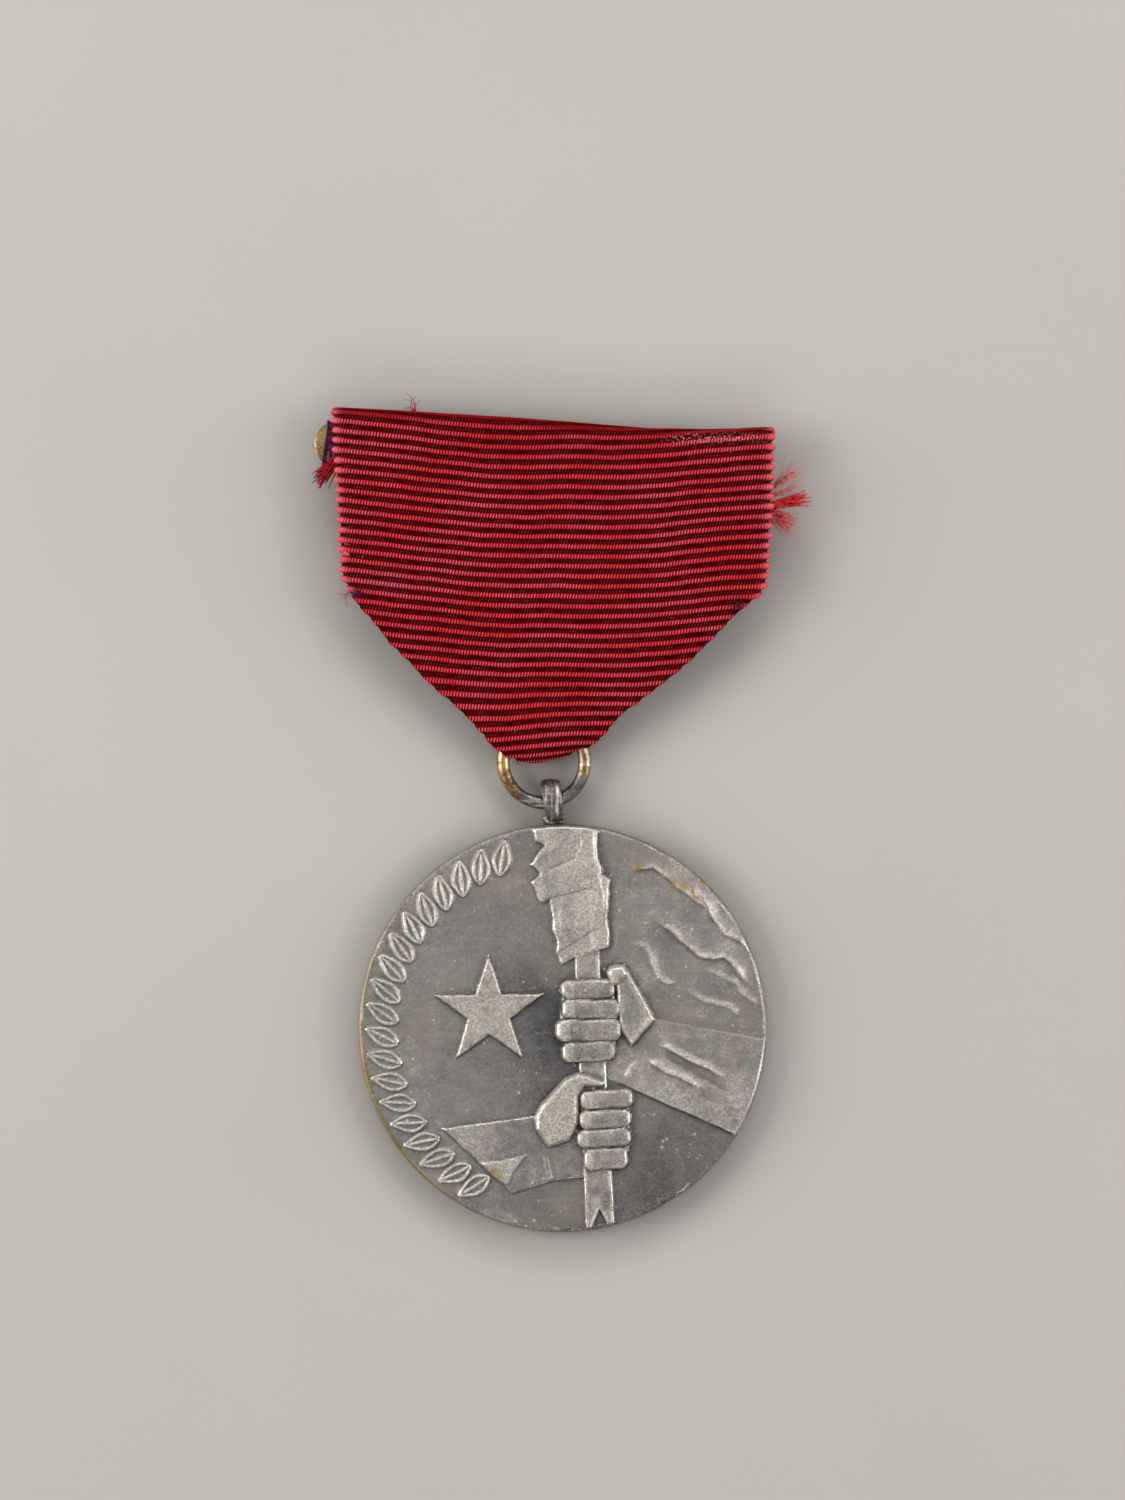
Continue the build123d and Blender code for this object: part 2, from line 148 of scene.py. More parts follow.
class Shade:
    """A material being made: its node tree, with a short word for each kind of step."""

    def __init__(self, name, uv_map=None):
        self.material = bpy.data.materials.new(name)
        self.material.use_nodes = True
        self.tree = self.material.node_tree
        self.tree.nodes.clear()
        output = self.add("ShaderNodeOutputMaterial")
        self.shader = self.add("ShaderNodeBsdfPrincipled")
        self.tree.links.new(self.shader.outputs[0], output.inputs[0])
        if uv_map:
            self.place = self.add("ShaderNodeUVMap", uv_map=uv_map).outputs[0]
        else:
            self.place = self.add("ShaderNodeTexCoord").outputs["Object"]

    def put(self, socket, value):
        """Links a socket, or sets a plain value."""
        if isinstance(value, bpy.types.NodeSocket):
            self.tree.links.new(value, socket)
        else:
            socket.default_value = value

    def add(self, kind, inputs=None, **settings):
        """Adds one node, with its settings and its inputs."""
        made = self.tree.nodes.new(kind)
        for key, value in settings.items():
            setattr(made, key, value)
        for key, value in (inputs or {}).items():
            self.put(made.inputs[key], value)
        return made

    def finish(self, **sockets):
        """Feeds the shader, with _ for the spaces in a socket's name, and hands over the material."""
        for key, value in sockets.items():
            self.put(self.shader.inputs[key.replace("_", " ")], value)
        return self.material

    def maths(self, operation, a, b=0.0, c=0.0, clamp=False):
        return self.add("ShaderNodeMath", {0: a, 1: b, 2: c}, operation=operation, use_clamp=clamp).outputs[0]

    def times(self, a, b):
        return self.maths("MULTIPLY", a, b)

    def plus(self, a, b, clamp=False):
        return self.maths("ADD", a, b, clamp=clamp)

    def less(self, a, b):
        return self.maths("SUBTRACT", a, b)

    def most(self, a, b):
        return self.maths("MAXIMUM", a, b)

    def line(self, value, gain, base, clamp=False):
        return self.maths("MULTIPLY_ADD", value, gain, base, clamp)

    def sway(self, base, cloud, gain, clamp=False):
        """Moves a value up and down with a cloud, whose middle is 0.5."""
        return self.line(self.less(cloud, 0.5), gain, base, clamp)

    def ramp(self, value, low, high):
        """Maps low..high to 0..1, smoothly."""
        mapped = {0: value, 1: low, 2: high}
        return self.add("ShaderNodeMapRange", mapped, interpolation_type="SMOOTHSTEP").outputs[0]

    def mix(self, factor, a, b):
        """Colour a, going over to b as the factor grows."""
        return self.add("ShaderNodeMix", {0: factor, 6: a, 7: b}, data_type="RGBA").outputs[2]

    def stain(self, colour, other, mask, share):
        """Lays another colour over a colour where the mask is, as strong as the share."""
        return self.mix(self.times(mask, share), colour, other)

    def cloud(self, scale, detail=2.0, place=None, roughness=0.5):
        inputs = {"Vector": place or self.place, "Scale": scale, "Detail": detail, "Roughness": roughness}
        return self.add("ShaderNodeTexNoise", inputs).outputs[0]

    def specks(self, scale, core, edge):
        """Small round dots, full inside the core and gone at the edge."""
        cells = self.add("ShaderNodeTexVoronoi", {"Vector": self.place, "Scale": scale}).outputs[0]
        return self.less(1.0, self.ramp(cells, core, edge))

    def mapped(self, scale, turn=0.0):
        mapping = {"Vector": self.place, "Rotation": (0, 0, turn), "Scale": scale}
        return self.add("ShaderNodeMapping", mapping).outputs[0]

    def attribute(self, name):
        return self.add("ShaderNodeAttribute", attribute_name=name).outputs["Fac"]

    def bump(self, height, strength, distance):
        bump = self.add("ShaderNodeBump", {"Height": height, "Strength": strength, "Distance": distance})
        return bump.outputs[0]

    def patina(self, cloud_size, pit_size):
        """Masks of cloudy tarnish, fine pits and hairline scratches."""
        clouds = self.ramp(self.cloud(cloud_size, 6.0, roughness=0.65), 0.32, 0.68)
        pits = self.ramp(self.cloud(pit_size, 3.0, roughness=0.6), 0.4, 0.75)
        scratches = []
        for turn, squeeze in ((0.5, 18.0), (1.9, 22.0)):
            lines = self.cloud(1.0, place=self.mapped((90.0, 90.0 * squeeze, 90.0), turn))
            scratches.append(self.ramp(lines, 0.62, 0.7))
        return clouds, pits, self.most(*scratches)


def struck_metal():
    """Patinated silver plate: grey field with painted shade, cream where handling wore it and where
    highlights are painted, dark in the corners, brown specks.
    """
    s = Shade("struck metal")
    polish_and_highlight, edge_wear_and_highlight, hollow, gilt, tone_and_shade = map(s.attribute, ("polish_and_highlight", "edge_wear_and_highlight", "hollow", "gilt", "tone_and_shade"))
    clouds, _, scratches = s.patina(cloud_size=330.0, pit_size=5200.0)
    grain = s.cloud(5200.0, detail=3.0)
    blotch = s.cloud(1100.0, detail=4.0)
    tint = s.cloud(210.0, detail=3.0)
    # the grey field, with painted shade from its tone mask, warmer here and colder there
    mottled = s.sway(s.sway(tone_and_shade, clouds, 0.16), grain, 0.9, clamp=True)
    colour = s.mix(mottled, rgb(0.1, 0.096, 0.097), rgb(0.39, 0.355, 0.32))
    colour = s.stain(colour, rgb(0.33, 0.275, 0.225), s.ramp(tint, 0.5, 0.72), 0.35)
    colour = s.stain(colour, rgb(0.24, 0.25, 0.28), s.ramp(tint, 0.48, 0.3), 0.3)
    # cream where it is polished and on painted highlights, nearly black in the hollows, bare metal with
    # painted highlight on the rubbed edges
    cream = s.mix(s.ramp(grain, 0.3, 0.7), rgb(0.42, 0.38, 0.33), rgb(0.8, 0.73, 0.62))
    colour = s.stain(colour, cream, s.ramp(s.sway(polish_and_highlight, blotch, 0.9), 0.1, 0.95), 0.9)
    colour = s.stain(colour, rgb(0.03, 0.029, 0.03), hollow, 0.8)
    brightened = s.times(s.ramp(s.sway(edge_wear_and_highlight, grain, 1.3), 0.12, 0.8), s.ramp(edge_wear_and_highlight, 0.0, 0.12))
    colour = s.mix(brightened, colour, rgb(0.78, 0.74, 0.66))
    colour = s.stain(colour, rgb(0.6, 0.58, 0.54), scratches, 0.07)
    # pale specks, finer ones in clusters, and golden-brown spots
    dots = s.times(s.specks(900.0, 0.06, 0.15), s.ramp(clouds, 0.2, 0.7))
    colour = s.stain(colour, rgb(0.68, 0.64, 0.56), dots, 0.75)
    clusters = s.ramp(s.cloud(420.0, detail=3.0), 0.5, 0.68)
    fine_dots = s.times(s.specks(1900.0, 0.12, 0.26), clusters)
    colour = s.stain(colour, rgb(0.56, 0.52, 0.46), fine_dots, 0.7)
    colour = s.stain(colour, rgb(0.36, 0.21, 0.05), gilt, s.ramp(grain, 0.35, 0.55))
    roughness = s.plus(s.less(0.46, s.times(brightened, 0.14)), s.times(clouds, 0.08))
    height = s.plus(grain, s.times(blotch, 0.8))
    return s.finish(Base_Color=colour, Roughness=roughness, Metallic=0.8,
                    Normal=s.bump(height, strength=0.35, distance=0.06 * MM))


def worn_metal(name, base, dark, bright, rough=0.35, cloud_size=600.0, drawn=0.0):
    """A plain metal piece: its colour, its tarnish, bright metal where it is rubbed, and lines along Y."""
    s = Shade(name)
    clouds, pits, scratches = s.patina(cloud_size, pit_size=5000.0)
    colour = s.mix(clouds, dark, base)
    brightened = s.most(s.times(scratches, 0.3), s.times(pits, 0.3))
    if drawn:
        lines = s.cloud(1.0, place=s.mapped((2900.0, 420.0, 420.0)))
        brightened = s.most(brightened, s.times(s.ramp(lines, 0.55, 0.66), drawn))
        colour = s.stain(colour, dark, s.ramp(lines, 0.5, 0.36), drawn)
    colour = s.mix(brightened, colour, bright)
    roughness = s.plus(s.times(clouds, -0.1), rough + 0.1)
    return s.finish(Base_Color=colour, Roughness=roughness, Metallic=0.9,
                    Normal=s.bump(pits, strength=0.3, distance=0.03 * MM))


def ring_metal():
    """Brass wire whose plating is left in silver-grey patches where it rubs in the eye."""
    s = Shade("ring wire")
    clouds, pits, scratches = s.patina(cloud_size=1100.0, pit_size=4500.0)
    brass = s.mix(clouds, rgb(0.13, 0.078, 0.032), rgb(0.6, 0.41, 0.19))
    silver = s.mix(clouds, rgb(0.1, 0.095, 0.09), rgb(0.38, 0.36, 0.33))
    ragged = s.ramp(s.sway(s.attribute("plating"), clouds, 0.8), 0.22, 0.78)
    colour = s.stain(s.mix(ragged, brass, silver), rgb(0.8, 0.7, 0.5), scratches, 0.4)
    return s.finish(Base_Color=colour, Roughness=s.less(0.42, s.times(clouds, 0.16)), Metallic=0.95,
                    Normal=s.bump(pits, strength=0.3, distance=0.04 * MM))


WARP_PITCH = 0.256                # millimetres between warp threads across the ribbon
WARP_LEAN = 0.9                   # how many threads they shift sideways from one rib to the next


def grosgrain():
    """Ribbed crimson cloth. UV: u is millimetres across the strip, v counts the ribs along it."""
    s = Shade("grosgrain", uv_map="weave")
    parts = s.add("ShaderNodeSeparateXYZ", {0: s.place}).outputs
    across, ribs = parts[0], parts[1]
    painted_sheen, lint, selvedge, dim = map(s.attribute, ("painted_sheen", "lint", "selvedge", "dim"))
    patches = s.cloud(0.9, detail=3.0)
    # 1 on top of a rib, 0 in the groove
    crown = s.line(s.maths("COSINE", s.times(ribs, math.tau)), 0.5, 0.5)
    crown_soft = s.ramp(crown, 0.12, 0.7)
    crest = s.ramp(crown, 0.52, 0.86)
    groove = s.less(1.0, s.ramp(crown, 0.04, 0.22))
    # the warp threads lean a little as they cross a rib
    phase = s.plus(s.times(across, math.tau / WARP_PITCH), s.times(ribs, math.tau * WARP_LEAN))
    phase = s.plus(phase, s.times(s.cloud(1.3), 2.5))
    wave = s.line(s.maths("SINE", phase), 0.5, 0.5)
    thread = s.most(s.ramp(wave, 0.32, 0.74), s.times(selvedge, 0.8))
    # painted shade: dark flanks, with the crossing threads just showing in the bottom of the groove
    colour = s.mix(crown_soft, rgb(0.042, 0.0, 0.0005), rgb(0.21, 0.0005, 0.003))
    crossing = s.times(s.times(groove, s.ramp(wave, 0.6, 0.9)), s.ramp(patches, 0.35, 0.6))
    colour = s.stain(colour, rgb(0.2, 0.022, 0.03), crossing, 0.8)
    # painted highlight: bright threads on the crest, pinker in places and under the painted sheen, held back
    # where the top fold is dim
    pinker_highlight = s.plus(s.ramp(s.cloud(0.16, detail=3.0), 0.38, 0.68), painted_sheen, clamp=True)
    bright = s.mix(pinker_highlight, rgb(1.0, 0.06, 0.08), rgb(1.0, 0.125, 0.18))
    # painted sheen: lavender on the crest highlight and on the crowns
    bright = s.stain(bright, rgb(0.7, 0.27, 0.4), painted_sheen, 0.5)
    strength = s.times(s.line(s.ramp(patches, 0.3, 0.7), 0.3, 0.7), s.less(1.0, dim))
    colour = s.stain(colour, s.mix(thread, rgb(0.12, 0.0008, 0.003), bright), crest, strength)
    colour = s.stain(colour, rgb(0.36, 0.06, 0.14), s.times(painted_sheen, crown_soft), 0.25)
    # painted highlight on the loops of thread along the selvedge, then lint
    loop = s.times(selvedge, s.ramp(crown, 0.12, 0.45))
    colour = s.stain(colour, rgb(0.85, 0.13, 0.17), loop, 0.55)
    loose = s.times(lint, s.ramp(s.cloud(5.0, detail=4.0), 0.56, 0.62))
    fleck = s.most(s.ramp(s.cloud(2.6, detail=5.0), 0.745, 0.77), loose)
    colour = s.stain(colour, rgb(0.75, 0.5, 0.48), fleck, 0.8)
    height = s.times(s.times(wave, s.line(crown, 0.6, 0.4)), s.less(1.0, s.times(selvedge, 0.8)))
    return s.finish(Base_Color=colour, Roughness=0.55, Specular_IOR_Level=0.02,
                    Normal=s.bump(height, strength=0.9, distance=0.07 * MM))


def thread_material(name, dark, light):
    """Twisted sewing thread or loose fibre."""
    s = Shade(name)
    twist = s.cloud(2500.0, detail=3.0)
    return s.finish(Base_Color=s.mix(s.ramp(twist, 0.35, 0.65), dark, light), Roughness=0.7,
                    Specular_IOR_Level=0.15, Normal=s.bump(twist, strength=0.5, distance=0.05 * MM))


def tabletop():
    """Plain matt grey, darker where the medal keeps the light off it."""
    s = Shade("tabletop")
    colour = s.mix(s.cloud(25.0, detail=4.0), rgb(0.52, 0.487, 0.45), rgb(0.56, 0.527, 0.49))
    openness = s.add("ShaderNodeAmbientOcclusion", {"Distance": 8 * MM}, samples=8).outputs["AO"]
    return s.finish(Base_Color=s.mix(openness, rgb(0.25, 0.23, 0.21), colour), Roughness=0.55)


STRUCK = struck_metal()
RING_METAL = ring_metal()
EYE_METAL = worn_metal("eye metal", rgb(0.22, 0.2, 0.18), rgb(0.075, 0.06, 0.05), rgb(0.72, 0.68, 0.61),
                       rough=0.38, cloud_size=1300.0, drawn=0.8)
SOLDER = worn_metal("solder", rgb(0.4, 0.39, 0.36), rgb(0.12, 0.11, 0.11), rgb(0.85, 0.83, 0.78), rough=0.3)
BRASS = worn_metal("aged brass", rgb(0.45, 0.32, 0.12), rgb(0.17, 0.12, 0.05), rgb(0.8, 0.68, 0.4))
STEEL = worn_metal("drawn steel", rgb(0.5, 0.5, 0.5), rgb(0.28, 0.27, 0.26), rgb(0.8, 0.8, 0.8), rough=0.25)
CLOTH = grosgrain()
PURPLE_THREAD = thread_material("purple thread", rgb(0.03, 0.004, 0.018), rgb(0.15, 0.024, 0.07))
RED_THREAD = thread_material("red thread", rgb(0.42, 0.008, 0.015), rgb(0.85, 0.06, 0.07))
CRIMSON_THREAD = thread_material("crimson thread", rgb(0.16, 0.002, 0.006), rgb(0.5, 0.02, 0.035))
PINK_FIBRE = thread_material("loose fibre", rgb(0.5, 0.06, 0.07), rgb(0.8, 0.22, 0.21))


# ---- The struck face ----
FIELD = 2.4                       # height of the plain field above the back face, millimetres
FACE_CELLS = 304                  # cells of the face's grid, each way
RIM_BEVEL = 0.28


def from_segment(x, y, a, b):
    """Distance to a straight line from a to b, and how far along it the nearest point lies."""
    ax, ay = a
    dx, dy = b[0] - ax, b[1] - ay
    along = np.clip(((x - ax) * dx + (y - ay) * dy) / (dx * dx + dy * dy), 0, 1)
    return np.hypot(x - ax - along * dx, y - ay - along * dy), along


def from_path(x, y, points):
    return np.min([from_segment(x, y, a, b)[0] for a, b in zip(points, points[1:])], axis=0)


def inside(x, y, points):
    """Signed distance to a closed outline: positive inside."""
    closed = list(points) + [points[0]]
    distance = from_path(x, y, closed)
    odd = np.zeros(x.shape, bool)
    for (ax, ay), (bx, by) in zip(closed, closed[1:]):
        if ay == by:
            continue
        crosses = (ay > y) != (by > y)
        odd ^= crosses & (x < (bx - ax) * (y - ay) / (by - ay) + ax)
    return np.where(odd, distance, -distance)


def shoulder(depth, width):
    """0 outside, rising like a quarter round to 1 over the width inside the outline."""
    t = np.clip(depth / width, 0, 1)
    return np.sqrt(np.clip(1 - (1 - t) ** 2, 0, 1))


def rounded_bar(x, y, centre, length, width, corner, turn):
    """Signed distance to a bar with rounded corners: positive inside."""
    c, s = math.cos(math.radians(turn)), math.sin(math.radians(turn))
    u = (x - centre[0]) * c + (y - centre[1]) * s
    v = -(x - centre[0]) * s + (y - centre[1]) * c
    qx, qy = np.abs(u) - (length / 2 - corner), np.abs(v) - (width / 2 - corner)
    outside = np.hypot(np.maximum(qx, 0), np.maximum(qy, 0)) + np.minimum(np.maximum(qx, qy), 0)
    return corner - outside


# Outlines are in millimetres from the disc's centre.
STAR_CENTRE = (-6.3, 1.7)
STAR_RADIUS = 4.95
STAR_NOTCH = 1.95                 # radius of the corners between the points
STAR_TURN = 88                    # degrees
BUNDLE = [(-2.0, 17.8), (-1.65, 16.2), (-0.95, 15.75), (-1.5, 15.15), (-2.25, 14.3), (-1.4, 13.4),
          (-2.1, 12.75), (-1.5, 10.75), (-0.6, 11.1), (-0.55, 9.6), (-0.2, 7.3), (-0.3, 6.6), (0.15, 5.5),
          (1.3, 6.0), (3.6, 6.6), (4.3, 6.85), (4.35, 9.6), (4.7, 12.7), (3.95, 13.3), (3.7, 15.5),
          (3.95, 17.8)]
SHAFT = [(1.3, 6.6), (1.2, -17.8), (1.5, -17.8), (2.45, -15.7), (3.4, -17.8), (3.7, -17.8), (3.45, 6.6)]
RIGHT_SLEEVE = [(7.9, 0.5), (17.8, -1.8), (16.5, -6.6), (14.6, -9.9), (3.7, -4.5), (2.4, -3.6), (2.4, 0.5)]
LEFT_SLEEVE = [(-10.8, -8.1), (-2.7, -7.35), (1.6, -9.0), (1.6, -12.9), (-1.5, -13.1), (-5.0, -14.05),
               (-6.1, -13.0)]
LEFT_FLAP = [(-7.6, -11.2), (-6.0, -11.1), (-3.4, -10.6), (-4.6, -11.9), (-5.4, -13.3), (-6.3, -12.8)]
RIGHT_HAND = [(5.75, 5.1), (8.05, 0.45), (5.8, -1.85), (4.9, -0.2), (4.7, 3.6)]
RIGHT_THUMB = [(3.9, 4.7), (4.25, 5.3), (5.6, 5.35), (5.95, 4.5), (5.4, 3.6), (4.4, 3.4)]
LEFT_HAND = [(-2.75, -7.35), (-2.2, -6.3), (-0.1, -4.2), (1.1, -3.75), (2.2, -4.05), (3.5, -4.75),
             (3.2, -5.2), (1.7, -5.1), (1.15, -5.9), (1.0, -8.2), (0.2, -9.7), (-1.75, -10.25), (-2.8, -8.6)]
PALMS = [[(0.1, 4.0), (4.4, 4.0), (4.9, 0.9), (4.4, -2.8), (0.6, -2.9), (-0.3, 0.0)],
         [(1.3, -5.5), (5.5, -5.6), (5.4, -10.2), (4.8, -12.3), (1.5, -12.2)]]
# centre x, centre y, length, width, turn in degrees, height
FINGERS = [(2.3, 3.32, 4.7, 1.66, -1, 0.82), (2.5, 1.6, 5.05, 1.74, -3, 0.9),
           (2.2, -0.2, 5.65, 1.92, -2, 0.97), (2.1, -2.05, 4.6, 1.78, 1, 0.86),
           (3.5, -6.22, 4.6, 1.66, 0.5, 0.9), (3.3, -7.92, 4.5, 1.66, 0, 0.9),
           (3.1, -9.55, 4.7, 1.62, 1, 0.9), (3.2, -11.35, 3.8, 1.9, 1, 0.82)]
FINGER_CORNER = 0.62
FINGER_CREASE = 0.27              # where the last joint's crease lies, as a share of the length
# folds of the waving cloth, the sleeve and the bundle: height, half-width, points
CLOTH_FOLDS = [
    (0.34, 0.5, [(5.6, 8.8), (8.7, 8.75), (9.6, 8.2), (10.4, 7.4), (11.3, 6.5), (12.1, 5.7), (13.2, 5.5),
                 (14.1, 5.6), (14.8, 5.05), (15.3, 4.3), (15.9, 3.4), (16.7, 2.6)]),
    (0.3, 0.45, [(6.0, 13.0), (7.0, 13.5), (8.3, 13.6), (9.2, 13.0), (10.1, 12.0), (11.0, 11.3),
                 (12.0, 10.6), (12.7, 9.9), (13.4, 8.9)]),
    (0.3, 0.4, [(12.0, 12.4), (12.25, 11.0), (12.8, 10.2), (13.6, 8.6), (14.3, 7.5), (15.7, 6.9),
                (16.3, 5.8)]),
    (0.22, 0.6, [(6.2, 7.1), (7.4, 6.8), (8.0, 5.5), (8.5, 4.0), (9.1, 3.55), (10.2, 3.5)]),
    (0.18, 0.45, [(12.4, 4.8), (13.8, 3.9), (15.0, 3.3), (16.1, 2.0), (17.0, 1.0)]),
    (0.13, 0.45, [(10.6, 3.0), (12.3, 1.9), (14.2, 1.4), (15.6, 0.2)])]
SLEEVE_FOLDS = [
    (0.36, 0.22, [(8.2, -1.6), (9.7, -2.45), (11.0, -3.3), (12.5, -4.0), (13.8, -4.95)]),
    (0.36, 0.4, [(7.2, -2.7), (7.8, -3.4), (8.7, -4.1), (9.6, -4.4), (10.7, -5.0), (12.0, -6.0)]),
    (-0.14, 0.4, [(8.3, -2.6), (10.2, -3.7), (12.5, -5.1), (14.2, -6.3)]),
    (0.13, 0.12, [(6.15, -3.0), (5.6, -3.8), (5.25, -4.5)])]
CUFF_FOLD = (0.16, 0.12, [(-2.1, -10.6), (-1.8, -12.0), (-1.5, -13.4)])
BUNDLE_FOLDS = [
    (0.14, 0.35, [(3.6, 17.6), (3.55, 15.4), (3.9, 13.2), (4.2, 11.5), (4.1, 9.0)]),
    (0.09, 0.25, [(-1.9, 14.2), (-1.0, 15.1), (0.3, 15.6), (1.5, 15.4)]),
    (-0.1, 0.1, [(2.2, 17.0), (2.1, 15.6), (1.6, 14.6), (0.2, 14.0), (-1.2, 13.5)]),
    (0.08, 0.3, [(0.3, 11.3), (1.4, 10.6), (2.4, 9.2), (2.7, 8.2)]),
    (0.07, 0.2, [(0.4, 10.6), (0.3, 9.0), (0.5, 7.6)])]
LEAF_BAND = 15.6                  # radius of the leaf band's middle
LEAF_COUNT = 19
LEAF_FIRST, LEAF_LAST = 107, 238  # degrees round the rim
LEAF_LENGTH, LEAF_WIDTH = 3.1, 1.3
LEAF_TILT = 28                    # degrees between a leaf and the radius it sits on
WAVES = 14                        # sine waves summed into one unevenness
WAVES_REACH = 4.5                 # how far their sum usually reaches


def wander(x, y, size, seed):
    """Smooth unevenness between about -1 and 1, with features of the given size."""
    rng = random.Random(seed)
    total = np.zeros(x.shape)
    for _ in range(WAVES):
        turn, pitch, phase = rng.uniform(0, math.tau), rng.uniform(0.6, 1.7), rng.uniform(0, math.tau)
        wave = (x * math.cos(turn) + y * math.sin(turn)) * pitch * math.pi / size + phase
        total += np.sin(wave)
    return total / WAVES_REACH


def shaken(x, y, amount, size, seed):
    """The same places, moved a little to and fro, so that straight lines look struck by hand."""
    return x + amount * wander(x, y, size, seed), y + amount * wander(x, y, size, seed + 1)


def star_outline():
    points = []
    for corner in range(10):
        radius = STAR_RADIUS if corner % 2 == 0 else STAR_NOTCH
        angle = math.radians(STAR_TURN + 36 * corner)
        points.append((STAR_CENTRE[0] + radius * math.cos(angle), STAR_CENTRE[1] + radius * math.sin(angle)))
    return points


def leaf_band(x, y):
    """A border of outlined leaves along the left rim."""
    height = np.zeros(x.shape)
    for count in range(LEAF_COUNT):
        angle = math.radians(LEAF_FIRST + (LEAF_LAST - LEAF_FIRST) * count / (LEAF_COUNT - 1))
        turn = angle - math.radians(LEAF_TILT)
        dx, dy = x - LEAF_BAND * math.cos(angle), y - LEAF_BAND * math.sin(angle)
        u = dx * math.cos(turn) + dy * math.sin(turn)
        v = -dx * math.sin(turn) + dy * math.cos(turn)
        t = np.clip(u / (LEAF_LENGTH / 2), -1, 1)
        depth = LEAF_WIDTH / 2 * (1 - t * t) * (1 - 0.35 * t) - np.abs(v)
        outline = 0.27 * hump(depth, 0, 0.18) * (np.abs(u) < LEAF_LENGTH / 2)
        vein = 0.2 * hump(v, 0, 0.13) * step(depth, 0.05, 0.2)
        height = np.maximum(height, np.maximum(outline, np.where(depth > 0, vein + 0.07, 0)))
    return height


def fold_line(x, y, height, width, points):
    """The height of a fold and the painted highlight along its crest: slow on the left of its line, steep on
    the right.
    """
    nearest, along = np.full(x.shape, np.inf), np.zeros(x.shape)
    left = np.zeros(x.shape, bool)
    for index, (a, b) in enumerate(zip(points, points[1:])):
        distance, part = from_segment(x, y, a, b)
        closer = distance < nearest
        nearest = np.where(closer, distance, nearest)
        along = np.where(closer, (index + part) / (len(points) - 1), along)
        on_left = (b[0] - a[0]) * (y - a[1]) > (b[1] - a[1]) * (x - a[0])
        left = np.where(closer, on_left, left)
    fade = step(along, -0.02, 0.2) * (1 - step(along, 0.8, 1.02))
    slow = 0.35 * np.exp(-nearest / 0.2) + 0.65 * hump(nearest, 0, width * 1.6)
    # painted highlight along the fold's crest, wider on its slow side
    brightened = 0.8 * hump(nearest, 0, np.where(left, 0.36, 0.15))
    brightened = brightened + 0.3 * hump(nearest, 0, np.where(left, 1.1, 0.3))
    return height * fade * np.where(left, slow, hump(nearest, 0, 0.2)), fade * brightened


